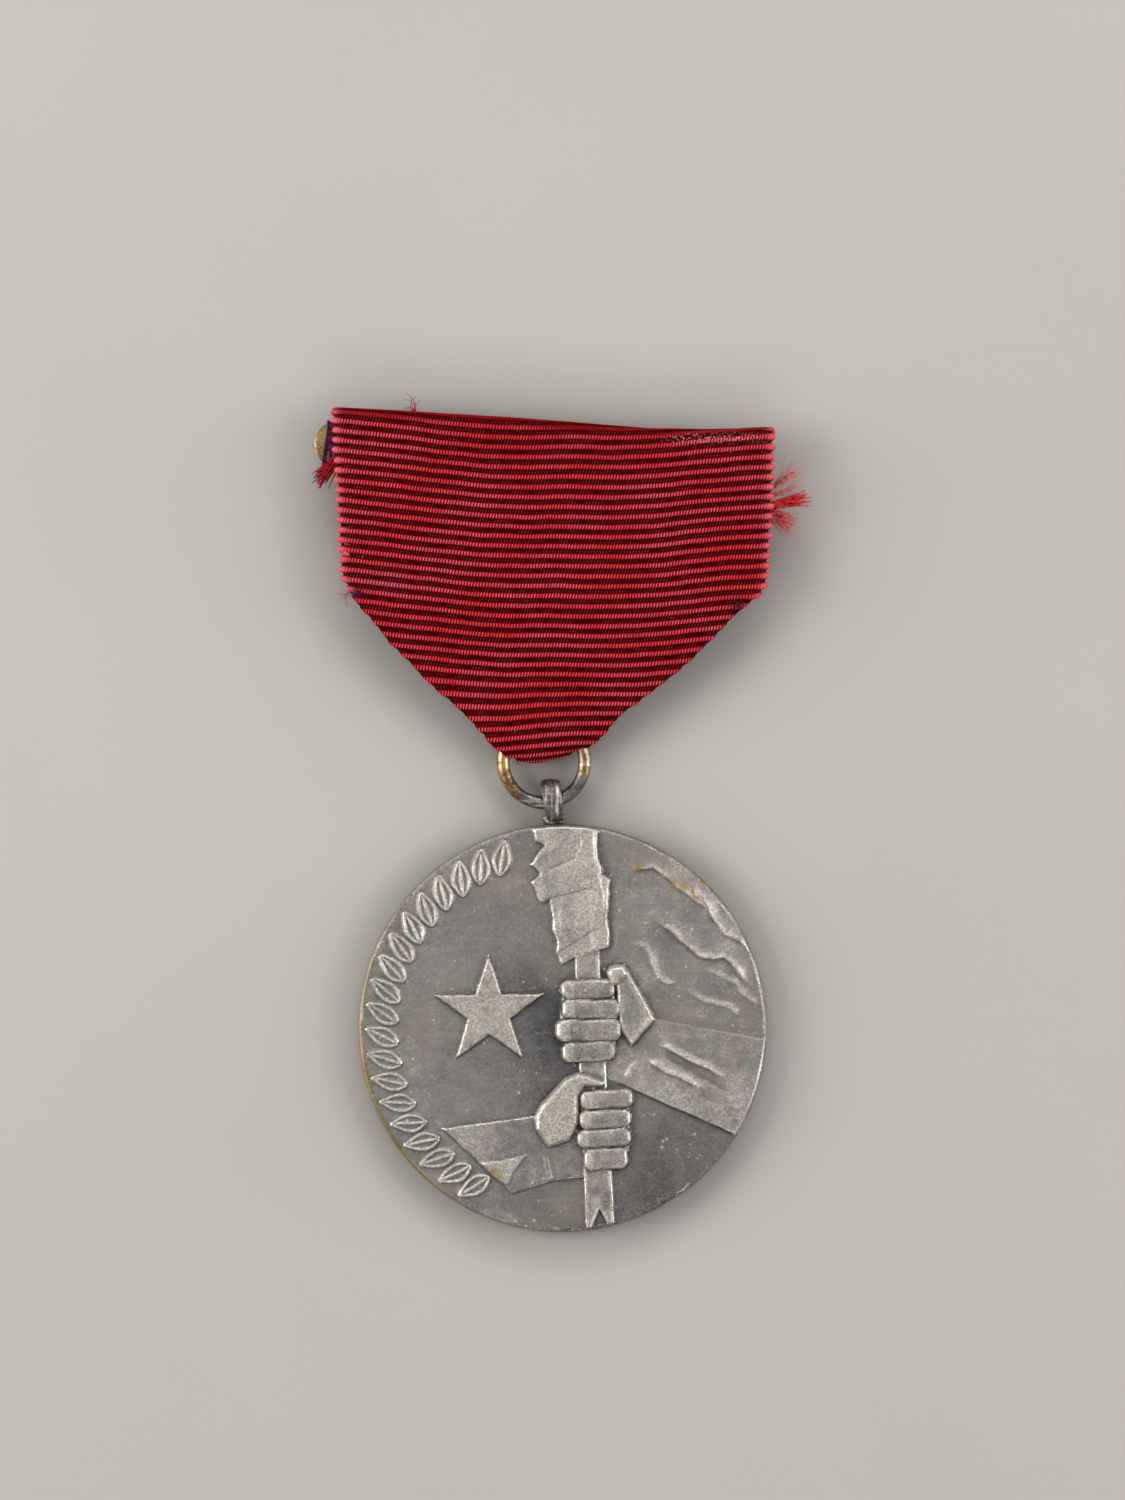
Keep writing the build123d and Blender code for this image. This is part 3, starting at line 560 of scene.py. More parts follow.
def relief(x, y):
    """Height above the field in millimetres, and how far each place is polished by handling and brightened as
    painted highlight.
    """
    x, y = shaken(x, y, amount=0.022, size=1.3, seed=1)
    radius = np.hypot(x, y)
    height = 0.02 * wander(x, y, 5.0, 3)
    polish_and_highlight = np.zeros(x.shape)

    def stand(depth, tall, shine):
        """Raises what lies inside an outline."""
        nonlocal height, polish_and_highlight
        raised = (depth > 0) & (tall > height)
        height = np.where(raised, tall, height)
        polish_and_highlight = np.where(raised, shine, polish_and_highlight)

    # waving cloth behind the staff
    zone = step(x, 4.3, 5.4) * step(y - (0.3 - 0.2 * (x - 8)), -0.1, 0.9)
    waves = 0.08 + 0.05 * np.sin(x * 0.75 + y * 0.55) + 0.05 * np.sin(x * 0.4 - y * 1.1 + 2)
    height = height + zone * (waves + 0.025 * wander(x, y, 1.4, 4))
    polish_and_highlight = np.maximum(polish_and_highlight, zone * (0.2 + 0.16 * wander(x, y, 2.2, 6)))
    # painted highlight: the cloth is brighter towards the rim at the upper right
    by_rim = hump(radius, 16.2, 1.3) * step(y, 4.5, 6.5) * step(x, 7.0, 10.0)
    polish_and_highlight = polish_and_highlight + zone * by_rim * (0.28 + 0.12 * wander(x, y, 1.1, 17))
    # each fold carries its painted crest highlight into the cream mask
    for tall, width, points in CLOTH_FOLDS:
        swell, brightened = fold_line(x + 0.07 * wander(x, y, 1.2, 5), y, tall, width, points)
        height = height + zone * swell
        polish_and_highlight = np.maximum(polish_and_highlight, zone * brightened * (0.8 + 0.25 * wander(x, y, 1.5, 16)))
    # right sleeve, lowest along its upper edge
    depth = inside(x, y, RIGHT_SLEEVE)
    fall = np.clip((0.4 - y - 0.22 * (x - 8)) / 6.5, 0, 1)
    sleeve = (0.1 + 0.3 * fall * step(x, 4.5, 8)) * shoulder(depth, 0.2)
    shine = 0.2 + 0.35 * fall + 0.1 * wander(x, y, 2.0, 7)
    for tall, width, points in SLEEVE_FOLDS:
        swell, brightened = fold_line(x, y, tall, width, points)
        sleeve = sleeve + step(depth, 0.05, 0.5) * swell
        # painted highlight along the ridges, painted shade along the crease
        shine = np.maximum(shine, brightened * (tall > 0)) - 0.25 * brightened * (tall < 0)
    stand(depth, sleeve, shine)
    # left sleeve with its turned-back flap
    depth = inside(x, y, LEFT_SLEEVE)
    sleeve = (0.2 + 0.08 * np.clip((y + 13) / 5, 0, 1)) * shoulder(depth, 0.18)
    sleeve = sleeve + step(depth, 0.02, 0.3) * fold_line(x, y, *CUFF_FOLD)[0]
    flap = inside(x, y, LEFT_FLAP)
    sleeve = sleeve + 0.2 * shoulder(flap, 0.35) * (1 - 0.4 * np.clip((x + 7.5) / 4, 0, 1))
    sleeve = sleeve - 0.12 * hump(x, -6.0, 0.9) * hump(y, -12.1, 0.5)
    stand(depth, sleeve, 0.25 + 0.35 * hump(x, -9, 3) + 0.5 * (flap > 0.1))
    # staff, with raised edges
    depth = inside(x, y, SHAFT)
    shaft = 0.27 * shoulder(depth, 0.12) + 0.1 * hump(depth, 0.12, 0.12)
    stand(depth, shaft, 0.5 + 0.15 * wander(x, y, 1.0, 8))
    # bundle wrapped round the staff's head
    flat_x, flat_y = x, y
    x, y = shaken(x, y, amount=0.06, size=0.9, seed=14)
    depth = inside(x, y, BUNDLE)
    drum = 0.34 + 0.26 * np.clip(1 - ((x - 3.0) / 4.4) ** 2, 0, 1)
    lower_wrap = 11.25 + 0.32 * (x + 0.6) - 0.02 * (x + 0.6) ** 2
    skirt = 6.7 + 0.75 * (x - 0.1) - 0.06 * (x - 0.1) ** 2
    drum = drum - 0.15 * (1 - step(y, lower_wrap - 0.06, lower_wrap + 0.06)) * (1 - step(x, 2.4, 3.6))
    drum = drum - 0.12 * (1 - step(y, skirt - 0.05, skirt + 0.05)) * (1 - step(x, 3.7, 4.5))
    for fold in BUNDLE_FOLDS:
        drum = drum + fold_line(x, y, *fold)[0]
    drum = drum + 0.022 * wander(x, y, 0.8, 9)
    shine = 0.62 + 0.3 * hump(x, 3.2, 1.3) + 0.12 * wander(x, y, 1.5, 10)
    stand(depth, drum * shoulder(depth, 0.2), shine)
    x, y = flat_x, flat_y
    # hands: palms, backs, thumb, then the fingers that close over them
    for palm in PALMS:
        depth = inside(x, y, palm)
        stand(depth, 0.5 * shoulder(depth, 0.25), 0.3)
    depth = inside(x, y, RIGHT_HAND)
    slab = 0.74 - 0.09 * np.clip(x - 5.0, 0, 3) + 0.16 * hump(depth, 0.25, 0.3) * step(x, 5.4, 6.2)
    stand(depth, slab * shoulder(depth, 0.3), 0.35 + 0.35 * hump(depth, 0, 0.5) + 0.4 * step(x, 6.0, 7.8))
    depth = inside(x, y, RIGHT_THUMB)
    stand(depth, 0.98 * shoulder(depth, 0.5), 0.9)
    depth = inside(x, y, LEFT_HAND)
    stand(depth, 0.82 * shoulder(depth, 0.55) + 0.03 * wander(x, y, 1.5, 11), 0.85)
    for cx, cy, length, width, turn, tall in FINGERS:
        depth = rounded_bar(x, y, (cx, cy), length, width, FINGER_CORNER, turn)
        dome = 0.62 + 0.38 * shoulder(depth, width / 2)
        crease = cx - length * FINGER_CREASE
        finger = tall * dome * shoulder(depth, 0.14) - 0.05 * hump(x, crease, 0.16)
        stand(depth, finger, 0.45 + 0.35 * (x < crease))
    # star
    depth = inside(x, y, star_outline())
    stand(depth, 0.38 * shoulder(depth, 0.16), 0.72 + 0.1 * wander(x, y, 2.0, 12))
    leaves = leaf_band(x, y) * (radius < DISC_RADIUS - 0.25)
    stand(leaves, leaves, 0.25 + 0.5 * step(leaves, 0.1, 0.2))
    height = height + 0.006 * wander(x, y, 0.45, 13)
    # the face falls away at the rim
    return height * step(DISC_RADIUS - radius, 0.02, 0.3), polish_and_highlight


def box_blur(values, cells, passes=2):
    for _ in range(passes):
        for axis in (0, 1):
            total = np.zeros(values.shape)
            for shift in range(-cells, cells + 1):
                total += np.roll(values, shift, axis)
            values = total / (2 * cells + 1)
    return values


# place and size of each golden-brown spot
BROWN_SPOTS = [(7.1, 13.5, 0.5), (10.0, 12.2, 0.45), (10.9, 11.7, 0.4), (11.9, 10.9, 0.3), (-6.1, -12.5, 0.4),
               (-6.5, -12.0, 0.35), (5.2, 4.1, 0.3), (12.6, 12.0, 0.3), (12.0, 13.0, 0.25)]


def struck_disc():
    """The disc: a fine grid drawn round, raised to the relief, with a bevelled rim and a plain back."""
    bm = bmesh.new()
    bmesh.ops.create_grid(bm, x_segments=FACE_CELLS, y_segments=FACE_CELLS, size=1.0)
    mesh = mesh_from(bm, "struck_disc")
    flat = coordinates(mesh)
    u, v = flat[:, 0], flat[:, 1]
    face_radius = DISC_RADIUS - RIM_BEVEL
    x = u * np.sqrt(1 - v * v / 2) * face_radius
    y = v * np.sqrt(1 - u * u / 2) * face_radius
    height, polish_and_highlight = relief(x, y)
    # neighbours on the grid tell edges from hollows
    side = FACE_CELLS + 1
    order = np.lexsort((u.round(6), v.round(6)))
    table = height[order].reshape(side, side)
    crest = table - box_blur(table, 1, 1)
    broad = table - box_blur(table, 5)
    edge_wear_and_highlight, hollow = np.empty(len(u)), np.empty(len(u))
    edge_wear_and_highlight[order] = np.clip(crest * 11 + np.clip(broad, 0, 1) * 1.4 - 0.08, 0, 1).ravel()
    hollow[order] = np.clip(-crest * 13 - broad * 2.4 - 0.1, 0, 1).ravel()
    # the raised edges carry rubbed metal and painted highlight, unevenly, and the star's least
    edge_wear_and_highlight = edge_wear_and_highlight * np.clip(0.8 + 0.35 * wander(x, y, 2.4, 24), 0.4, 1)
    from_star = np.hypot(x - STAR_CENTRE[0], y - STAR_CENTRE[1])
    edge_wear_and_highlight = edge_wear_and_highlight * (1 - 0.55 * hump(from_star ** 2, 0, 27))
    gilt = np.zeros(len(u))
    for spot_x, spot_y, size in BROWN_SPOTS:
        gilt = np.maximum(gilt, hump(np.hypot(x - spot_x, y - spot_y), 0, size))
    turn = np.arctan2(y, x)
    radius = np.hypot(x, y)
    rim = step(radius, DISC_RADIUS - 0.55, DISC_RADIUS - 0.3)
    gilt = np.maximum(gilt, 0.75 * hump(np.abs(turn - 0.35), math.pi, 0.8) * rim)
    edge_wear_and_highlight = np.maximum(edge_wear_and_highlight, rim * (0.24 + 0.2 * wander(x, y, 2.0, 21)))
    # painted shade: the field is darkest round the hands, low on the right and at the bottom, with a random
    # unevenness of tone on top
    shade_round_hands = hump(x, -0.9, 4.0) * hump(y, -0.5, 7.0)
    tone_and_shade = 0.68 - 0.64 * shade_round_hands - 0.3 * step(x, -3, 9) * step(-y, 4, 10) - 0.12 * step(-y, 6, 14)
    tone_and_shade = tone_and_shade + 0.06 * wander(x, y, 5.0, 22) + 0.05 * wander(x, y, 1.6, 23)
    masks = {"polish_and_highlight": np.clip(polish_and_highlight, 0, 1), "edge_wear_and_highlight": edge_wear_and_highlight, "hollow": hollow, "gilt": gilt, "tone_and_shade": tone_and_shade}
    for name, values in masks.items():
        point_attribute(mesh, name, values)
    move_vertices(mesh, np.c_[x, y, FIELD + height])
    bm = bmesh.new()
    bm.from_mesh(mesh)
    # down over the rim: radius and height of each ring of the wall
    wall = [(DISC_RADIUS - 0.08, FIELD - 0.06), (DISC_RADIUS, FIELD - RIM_BEVEL), (DISC_RADIUS, RIM_BEVEL),
            (DISC_RADIUS - 0.08, 0.06), (DISC_RADIUS - RIM_BEVEL, 0.0)]
    edges = [e for e in bm.edges if e.is_boundary]
    for wall_radius, wall_height in wall:
        made = bmesh.ops.extrude_edge_only(bm, edges=edges)["geom"]
        for vert in verts_in(made):
            scale = wall_radius / math.hypot(vert.co.x, vert.co.y)
            vert.co = Vector((vert.co.x * scale, vert.co.y * scale, wall_height))
        edges = [g for g in made if isinstance(g, bmesh.types.BMEdge)]
    bmesh.ops.holes_fill(bm, edges=edges, sides=0)
    bmesh.ops.recalc_face_normals(bm, faces=bm.faces)
    bm.transform(Matrix.Translation(DISC_CENTRE) @ Matrix.Rotation(LEAN, 4, "Z") @ Matrix.Scale(MM, 4))
    bm.to_mesh(mesh)
    bm.free()
    mesh.shade_smooth()
    # the wall and the back are plain
    below = coordinates(mesh)[:, 2] < (FIELD - 0.03) * MM
    for name, plain in (("polish_and_highlight", 0.3), ("edge_wear_and_highlight", 0.0), ("hollow", 0.0), ("tone_and_shade", 0.6)):
        values = np.empty(len(mesh.vertices), np.float32)
        mesh.attributes[name].data.foreach_get("value", values)
        mesh.attributes[name].data.foreach_set("value", np.where(below, plain, values).astype(np.float32))
    return new_object("struck_disc", mesh, "medal", STRUCK, ("medal_disc",))


struck_disc()


# ---- Eye, solder and ring ----
def eye_loop():
    """A flat strap bent to an oval eye, a little uneven from bending by hand."""
    centre = (eye_low + eye_high) / 2
    half_length = (eye_high.y - eye_low.y) / 2
    half_height = (eye_high.z - eye_low.z) / 2
    strap, width = 0.6 * MM, 1.75 * MM
    bm = bmesh.new()
    bmesh.ops.create_circle(bm, segments=56, radius=1.0)
    bmesh.ops.rotate(bm, verts=bm.verts, matrix=Matrix.Rotation(math.pi / 2, 3, "Y"))
    inner = list(bm.verts)
    for vert in inner:
        vert.co = Vector((-width / 2, vert.co.y * (half_length - strap), vert.co.z * (half_height - strap)))
    made = bmesh.ops.extrude_edge_only(bm, edges=bm.edges[:])["geom"]
    for vert in verts_in(made):
        vert.co.y *= half_length / (half_length - strap)
        vert.co.z *= half_height / (half_height - strap)
    made = bmesh.ops.extrude_face_region(bm, geom=bm.faces[:])["geom"]
    bmesh.ops.translate(bm, verts=verts_in(made), vec=(width, 0, 0))
    bmesh.ops.recalc_face_normals(bm, faces=bm.faces)
    across = [e for e in bm.edges if abs(e.verts[0].co.x - e.verts[1].co.x) > width / 2]
    bmesh.ops.subdivide_edges(bm, edges=across, cuts=7, use_grid_fill=True)
    for vert in bm.verts:
        # the strap is crowned across its width
        out = Vector((0, vert.co.y / half_length, vert.co.z / half_height))
        if out.length > 0.85:
            vert.co += out.normalized() * (0.1 * (1 - (2 * vert.co.x / width) ** 2) - 0.05) * MM
    sharp = [e for e in bm.edges if e.calc_face_angle(0) > 1.0]
    bmesh.ops.bevel(bm, geom=sharp, offset=0.1 * MM, affect="EDGES", segments=3, profile=0.5, material=-1)
    for vert in bm.verts:
        # it widens towards its crown, where its corners are rubbed round, and leans a little
        up = vert.co.y / half_length
        vert.co.x *= 0.9 + 0.14 * up - 0.3 * max(0.0, (up - 0.72) / 0.28) ** 2
        vert.co.x -= 0.17 * MM * up
        vert.co += noise.noise_vector(vert.co * 900) * 0.1 * MM
        vert.co += noise.noise_vector(vert.co * 2800) * 0.02 * MM
    bm.transform(Matrix.Translation(centre) @ Matrix.Rotation(LEAN, 4, "Z"))
    mesh = mesh_from(bm, "suspension_eye")
    return new_object("suspension_eye", mesh, "medal", EYE_METAL, ("suspension_loop",))


def solder_fillet():
    """A lumpy blob of solder between the eye and the rim."""
    low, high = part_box("loop_solder")
    centre = (low + high) / 2
    bm = bmesh.new()
    bmesh.ops.create_icosphere(bm, subdivisions=4, radius=1.0)
    for vert in bm.verts:
        lumps = 1 + 0.16 * noise.noise(vert.co * 1.7 + Vector((3, 1, 5))) + 0.06 * noise.noise(vert.co * 5)
        vert.co *= lumps
        # a small dark pit left in the middle of the blob's top
        pit = math.hypot(vert.co.x, vert.co.y - 0.1)
        if vert.co.z > 0:
            vert.co.z -= 0.35 * math.exp(-(pit / 0.3) ** 2)
    half_size = Matrix.Diagonal((1.0 * MM, 0.75 * MM, 1.05 * MM, 1))
    bm.transform(Matrix.Translation(centre + Vector((0, 0.1 * MM, 0))) @ half_size)
    mesh = mesh_from(bm, "solder_fillet")
    return new_object("solder_fillet", mesh, "medal", SOLDER, ("loop_solder",))


SPLIT_ANGLE = 72                  # degrees; the butt joint hides under the ribbon


def jump_ring():
    """Round wire spun to a ring, with a hairline butt joint."""
    gap = 0.02                    # half the joint's opening, in radians
    bm = bmesh.new()
    bmesh.ops.create_circle(bm, cap_ends=True, segments=20, radius=RING_WIRE_RADIUS)
    bmesh.ops.rotate(bm, verts=bm.verts, matrix=Matrix.Rotation(math.pi / 2, 3, "X"))
    bmesh.ops.translate(bm, verts=bm.verts, vec=(RING_RADIUS, 0, 0))
    start = Matrix.Rotation(math.radians(SPLIT_ANGLE) + gap, 3, "Z")
    bmesh.ops.rotate(bm, verts=bm.verts, matrix=start)
    bmesh.ops.spin(bm, geom=bm.faces[:], cent=(0, 0, 0), axis=(0, 0, 1), dvec=(0, 0, 0),
                   angle=2 * math.pi - 2 * gap, steps=140, use_merge=False, use_duplicate=False)
    bmesh.ops.recalc_face_normals(bm, faces=bm.faces)
    plating = []
    for vert in bm.verts:
        angle = math.degrees(math.atan2(vert.co.y, vert.co.x)) % 360
        # plating is left from about the seven o'clock side round to the lower right
        patch = step(angle, 205, 250) * (1 - 0.55 * step(angle, 325, 350))
        plating.append(max(patch, 0.5 * (angle < 80)))
        bulk = noise.noise(vert.co * 700) * 0.035 * MM
        out = Vector((vert.co.x, vert.co.y, 0)).normalized() * RING_RADIUS
        vert.co += (vert.co - out).normalized() * bulk
    bm.transform(Matrix.Translation(RING_CENTRE))
    mesh = mesh_from(bm, "ring_wire")
    point_attribute(mesh, "plating", plating)
    return new_object("ring_wire", mesh, "ring", RING_METAL, ("jump_ring",))


eye_loop()
solder_fillet()
jump_ring()


# ---- Ribbon: one strip, from its hem over the top, down, through the ring and back up ----
# Lengths are in millimetres.
RIB_PITCH = 0.85
RIB_HEIGHT = 0.22
RIB_PHASE = 0.55                  # where the first rib's crown lies, as a share of the pitch
ROWS_PER_RIB = 7
FACE_COLUMNS = 92
EDGE_RADIUS = 0.24                # of the rolled selvedge
EDGE_STEPS = 4                    # columns round the selvedge
TUCK_STEPS = 2                    # columns turned in behind it
EDGE_COLUMN = 0.19                # width of one of these columns on the flat strip
TOP_Y = 52.3                      # the top fold at the ribbon's middle
TIP_Y = 22.84                     # the lowest point of the turn round the ring
TURN = 1.45                       # radius of that turn
FRONT_TOP = upper_high.z / MM
TIP_LOW = lower_low.z / MM
HEM_LOW = upper_low.z / MM
MIDDLE_X = RING_CENTRE.x / MM
RING_ROOM = 2.45                  # half the width the cloth has inside the ring
# x of the two side edges at each height y
LEFT_OUTLINE = [(22.9, -3.9), (23.45, -4.75), (23.9, -5.4), (24.8, -6.3), (25.95, -7.2), (26.95, -8.1),
                (29.2, -10.75), (33.0, -14.65), (37.2, -18.3), (38.4, -18.95), (39.4, -19.2), (46.0, -19.5),
                (54.0, -19.95)]
RIGHT_OUTLINE = [(23.9, 1.2), (24.3, 2.1), (24.8, 2.7), (25.8, 3.6), (27.1, 4.8), (28.3, 6.4), (29.7, 8.3),
                 (32.1, 11.25), (35.7, 14.95), (37.4, 17.1), (38.2, 17.6), (42.0, 17.85), (46.0, 18.05),
                 (54.0, 18.2)]
# how the top fold and the tip rise or fall across the ribbon
TOP_EDGE = [(-20.0, 1.1), (-14.0, 0.8), (-5.4, 0.35), (3.2, -0.4), (7.2, -0.7), (11.8, -0.8), (18.2, -0.55)]
TIP_EDGE = [(-4.8, 0.4), (-3.9, 0.1), (-2.9, 0.0), (-1.2, 0.2), (0.2, 0.6), (1.2, 1.0), (2.2, 1.35)]
# how a rib rises or falls across the ribbon, in its body and near its tip
RIB_RISE = [(-19.5, 1.5), (-12.8, 0.74), (-8.8, 0.27), (-6.3, 0.04), (-3.0, -0.04), (0.0, 0.02), (5.2, -0.09),
            (7.2, 0.0), (9.2, 0.17), (11.2, 0.44), (13.3, 0.63), (17.5, 0.92)]
TIP_RISE = [(-9.0, -0.6), (-5.0, -0.5), (-2.8, -0.28), (-0.8, 0.0), (1.2, 0.04), (3.3, 0.08), (8.0, 0.1)]


def soft_line(x, points):
    """A line through points with its corners rounded off."""
    place, value = zip(*points)
    return np.mean([np.interp(x + shift, place, value) for shift in (-1.2, -0.6, 0, 0.6, 1.2)], axis=0)


def ribbon_profile():
    """The strip's path in side view, as arc length, y and z, from the hem's cut end to the other end."""
    fold = (FRONT_TOP - HEM_LOW) / 2
    top = (TOP_Y - fold, HEM_LOW + fold)
    tip = (TIP_Y + TURN, TIP_LOW + TURN)
    points = [(46.6, HEM_LOW + 0.03), (48.5, HEM_LOW)]
    for angle in np.radians(np.arange(-90, 91, 10)):
        points.append((top[0] + fold * math.cos(angle), top[1] + fold * math.sin(angle)))
    points += [(46.0, FRONT_TOP), (37.0, FRONT_TOP - 0.45), (29.0, 3.5)]
    for angle in np.radians(np.arange(90, 271, 10)):
        points.append((tip[0] + TURN * math.cos(angle), tip[1] + TURN * math.sin(angle)))
    points += [(28.2, TIP_LOW + 0.15), (33.0, 1.45), (41.0, HEM_LOW + 0.6), (49.0, HEM_LOW + 0.62)]
    points = np.array(points)
    length = np.r_[0, np.cumsum(np.hypot(*np.diff(points, axis=0).T))]
    return length, points[:, 0], points[:, 1]


def ribbon():
    """The strip as one sheet of ribbed cloth, and its length along its own path."""
    length, path_y, path_z = ribbon_profile()
    total = length[-1]
    ribs = int(round(total / RIB_PITCH))
    rows = ribs * ROWS_PER_RIB
    first = EDGE_STEPS + TUCK_STEPS
    last = first + FACE_COLUMNS
    columns = last + first
    bm = bmesh.new()
    bmesh.ops.create_grid(bm, x_segments=columns, y_segments=rows, size=1.0)
    mesh = mesh_from(bm, "ribbon")
    flat = coordinates(mesh)
    column = np.rint((flat[:, 0] + 1) / 2 * columns).astype(int)
    row = np.rint((flat[:, 1] + 1) / 2 * rows).astype(int)
    order = np.lexsort((column, row))
    shape = (rows + 1, columns + 1)

    s = np.linspace(0, total, rows + 1)[:, None] * np.ones(shape)
    fine = np.linspace(0, total, 4000)
    fine_y = np.interp(fine, length, path_y)
    lowest, highest = fine[np.argmin(fine_y)], fine[np.argmax(fine_y)]
    from_tip = np.abs(s - lowest)
    front = s < lowest
    top_share = 1 - step(s, highest + 1, highest + 9)
    tip_share = 1 - step(from_tip, 1.5, 6)
    slide = step(s, highest - 1.2, highest + 1.2) * (1 - step(s, lowest + 3, lowest + 14))
    near_tip = 1 - step(from_tip, 3.5, 9)

    def lie(x):
        """Where the cloth of each row lies at x: along the path, and its height there."""
        lift = top_share * soft_line(x, TOP_EDGE) + tip_share * soft_line(x, TIP_EDGE)
        rise = (1 - near_tip) * soft_line(x, RIB_RISE) + near_tip * soft_line(x, TIP_RISE)
        rise = rise + 0.045 * wander(x, s * 0.6, 4.0, 31) + 0.02 * wander(x, s, 1.3, 32)
        along = s + slide * (lift - rise)
        return np.interp(along, length, path_y) + lift, np.interp(along, length, path_z), along

    # across: 0..1 over the face, then round each edge
    c = np.arange(columns + 1)[None, :] * np.ones(shape)
    across = np.clip((c - first) / (last - first), 0, 1)
    left, right = np.full(shape, -15.0), np.full(shape, 15.0)
    # an edge's x depends on the height the cloth has there, so both settle in a few steps
    for _ in range(5):
        left = 0.5 * left + 0.5 * np.interp(lie(left)[0], *zip(*LEFT_OUTLINE))
        right = 0.5 * right + 0.5 * np.interp(lie(right)[0], *zip(*RIGHT_OUTLINE))
    # each rib's end bulges out a little, most along the straight selvedge
    crown = 0.5 + 0.5 * np.cos(2 * np.pi * (s / RIB_PITCH - RIB_PHASE))
    straight = step(lie(left)[0], 36.5, 38.5)
    bulge = (0.02 + 0.2 * straight) * (np.sqrt(crown) - 0.5)
    uneven = 0.05 * np.sin(s * 2.3) + 0.04 * np.sin(s * 5.1 + 1)
    inset = np.where(front, 0, 0.35)
    left = left + inset - bulge + uneven
    right = right - inset + bulge + 0.7 * uneven[::-1]
    # inside the ring the fold is narrower than the face above it
    depth_there = lie((left + right) / 2)[1]
    in_ring = (1 - step(np.abs(depth_there - 1.6), 0.5, 1.25)) * (from_tip < 6)
    left = left + in_ring * np.clip(MIDDLE_X - RING_ROOM - left, 0, 6)
    right = right - in_ring * np.clip(right - MIDDLE_X - RING_ROOM, 0, 6)
    left_in, right_in = left + EDGE_RADIUS, right - EDGE_RADIUS
    x = left_in + across * (right_in - left_in)
    y, z, along = lie(x)
    swell = 0.14 * np.sin(x * 0.33 + 0.8) * np.sin(y * 0.28) - 0.12 * np.abs(x / 19) ** 3
    swell = swell * step(from_tip, 3, 8) * step(s, highest, highest + 3)
    z = z + np.where(front, swell, -0.4 * swell)
    face_x = x

    # which way the cloth faces in side view, for the rolled edges
    path_slope_y = np.interp(along + 0.1, length, path_y) - np.interp(along - 0.1, length, path_y)
    path_slope_z = np.interp(along + 0.1, length, path_z) - np.interp(along - 0.1, length, path_z)
    run = np.maximum(np.hypot(path_slope_y, path_slope_z), 1e-6)
    up_y, up_z = path_slope_z / run, -path_slope_y / run
    diagonal = step(from_tip, 2, 5) * (1 - step(from_tip, 15, 18))
    # the folded corners are tucked in deeper than the selvedge
    tuck_depth = 0.35 + 2.6 * diagonal
    beyond_left = np.clip(first - c, 0, None)
    beyond_right = np.clip(c - last, 0, None)
    for beyond, sign in ((beyond_left, -1), (beyond_right, 1)):
        angle = np.clip(beyond, 0, EDGE_STEPS) / EDGE_STEPS * np.pi
        tuck = np.clip(beyond - EDGE_STEPS, 0, TUCK_STEPS) / TUCK_STEPS * tuck_depth
        x = x + sign * (EDGE_RADIUS * np.sin(angle) - tuck)
        drop = EDGE_RADIUS * (1 - np.cos(angle))
        y = y - drop * up_y
        z = z - drop * up_z
    # raise the ribs along the cloth's normal
    dv, du = (np.stack([np.gradient(a, axis=way) for a in (x, y, z)], -1) for way in (0, 1))
    normal = np.cross(dv, du)
    normal = normal / np.maximum(np.linalg.norm(normal, axis=-1, keepdims=True), 1e-12)
    rib = RIB_HEIGHT * (crown ** 0.55 - 0.6)
    rib = np.where((beyond_left > EDGE_STEPS) | (beyond_right > EDGE_STEPS), 0.3 * rib, rib)
    at_edge = np.clip((beyond_left + beyond_right) / EDGE_STEPS, 0, 1)
    rib = rib * (1 - 0.75 * np.sqrt(at_edge) * (1 - straight))
    x, y, z = (place + normal[..., axis] * rib for axis, place in enumerate((x, y, z)))
    z = np.maximum(z, 0.03)
    points = np.empty((len(flat), 3))
    points[order] = np.stack([x, y, z], -1).reshape(-1, 3) * MM
    move_vertices(mesh, points)

    # painted sheen at the corners, lint near the top, smooth thread at the selvedges, painted shade dimming
    # the top fold
    painted_sheen = 0.75 * hump(x, -15.8, 3.2) * hump(y, 38.4, 1.1)
    painted_sheen += 0.22 * hump(x, -18.8, 1.3) + 0.3 * hump(x, 17.4, 1.6) * hump(y, 44, 5)
    painted_sheen = painted_sheen * front * (0.8 + 0.3 * wander(x, y, 3.0, 33)) + 0.08 * wander(x, y, 6.0, 34)
    lint = np.exp(-((x - 13.2) / 4.2) ** 4) * hump(y, 50.75 + 0.02 * (x - 13), 0.34) * front
    below_top = TOP_Y + soft_line(x, TOP_EDGE) - y
    dim = 0.75 * (1 - step(below_top, 0.45, 0.95)) + 0.25 * hump(x, -2, 9) * hump(y, 50.3, 2.6)
    dim = np.where(s > highest - 1, dim, 0)
    to_edge = np.minimum(np.abs(face_x - left_in), np.abs(right_in - face_x))
    selvedge = hump(to_edge, 0, 0.3) * straight
    masks = {"painted_sheen": np.clip(painted_sheen, 0, 1), "lint": lint, "selvedge": selvedge, "dim": dim}
    values = np.empty(len(flat))
    for name, grid in masks.items():
        values[order] = grid.ravel()
        point_attribute(mesh, name, values)
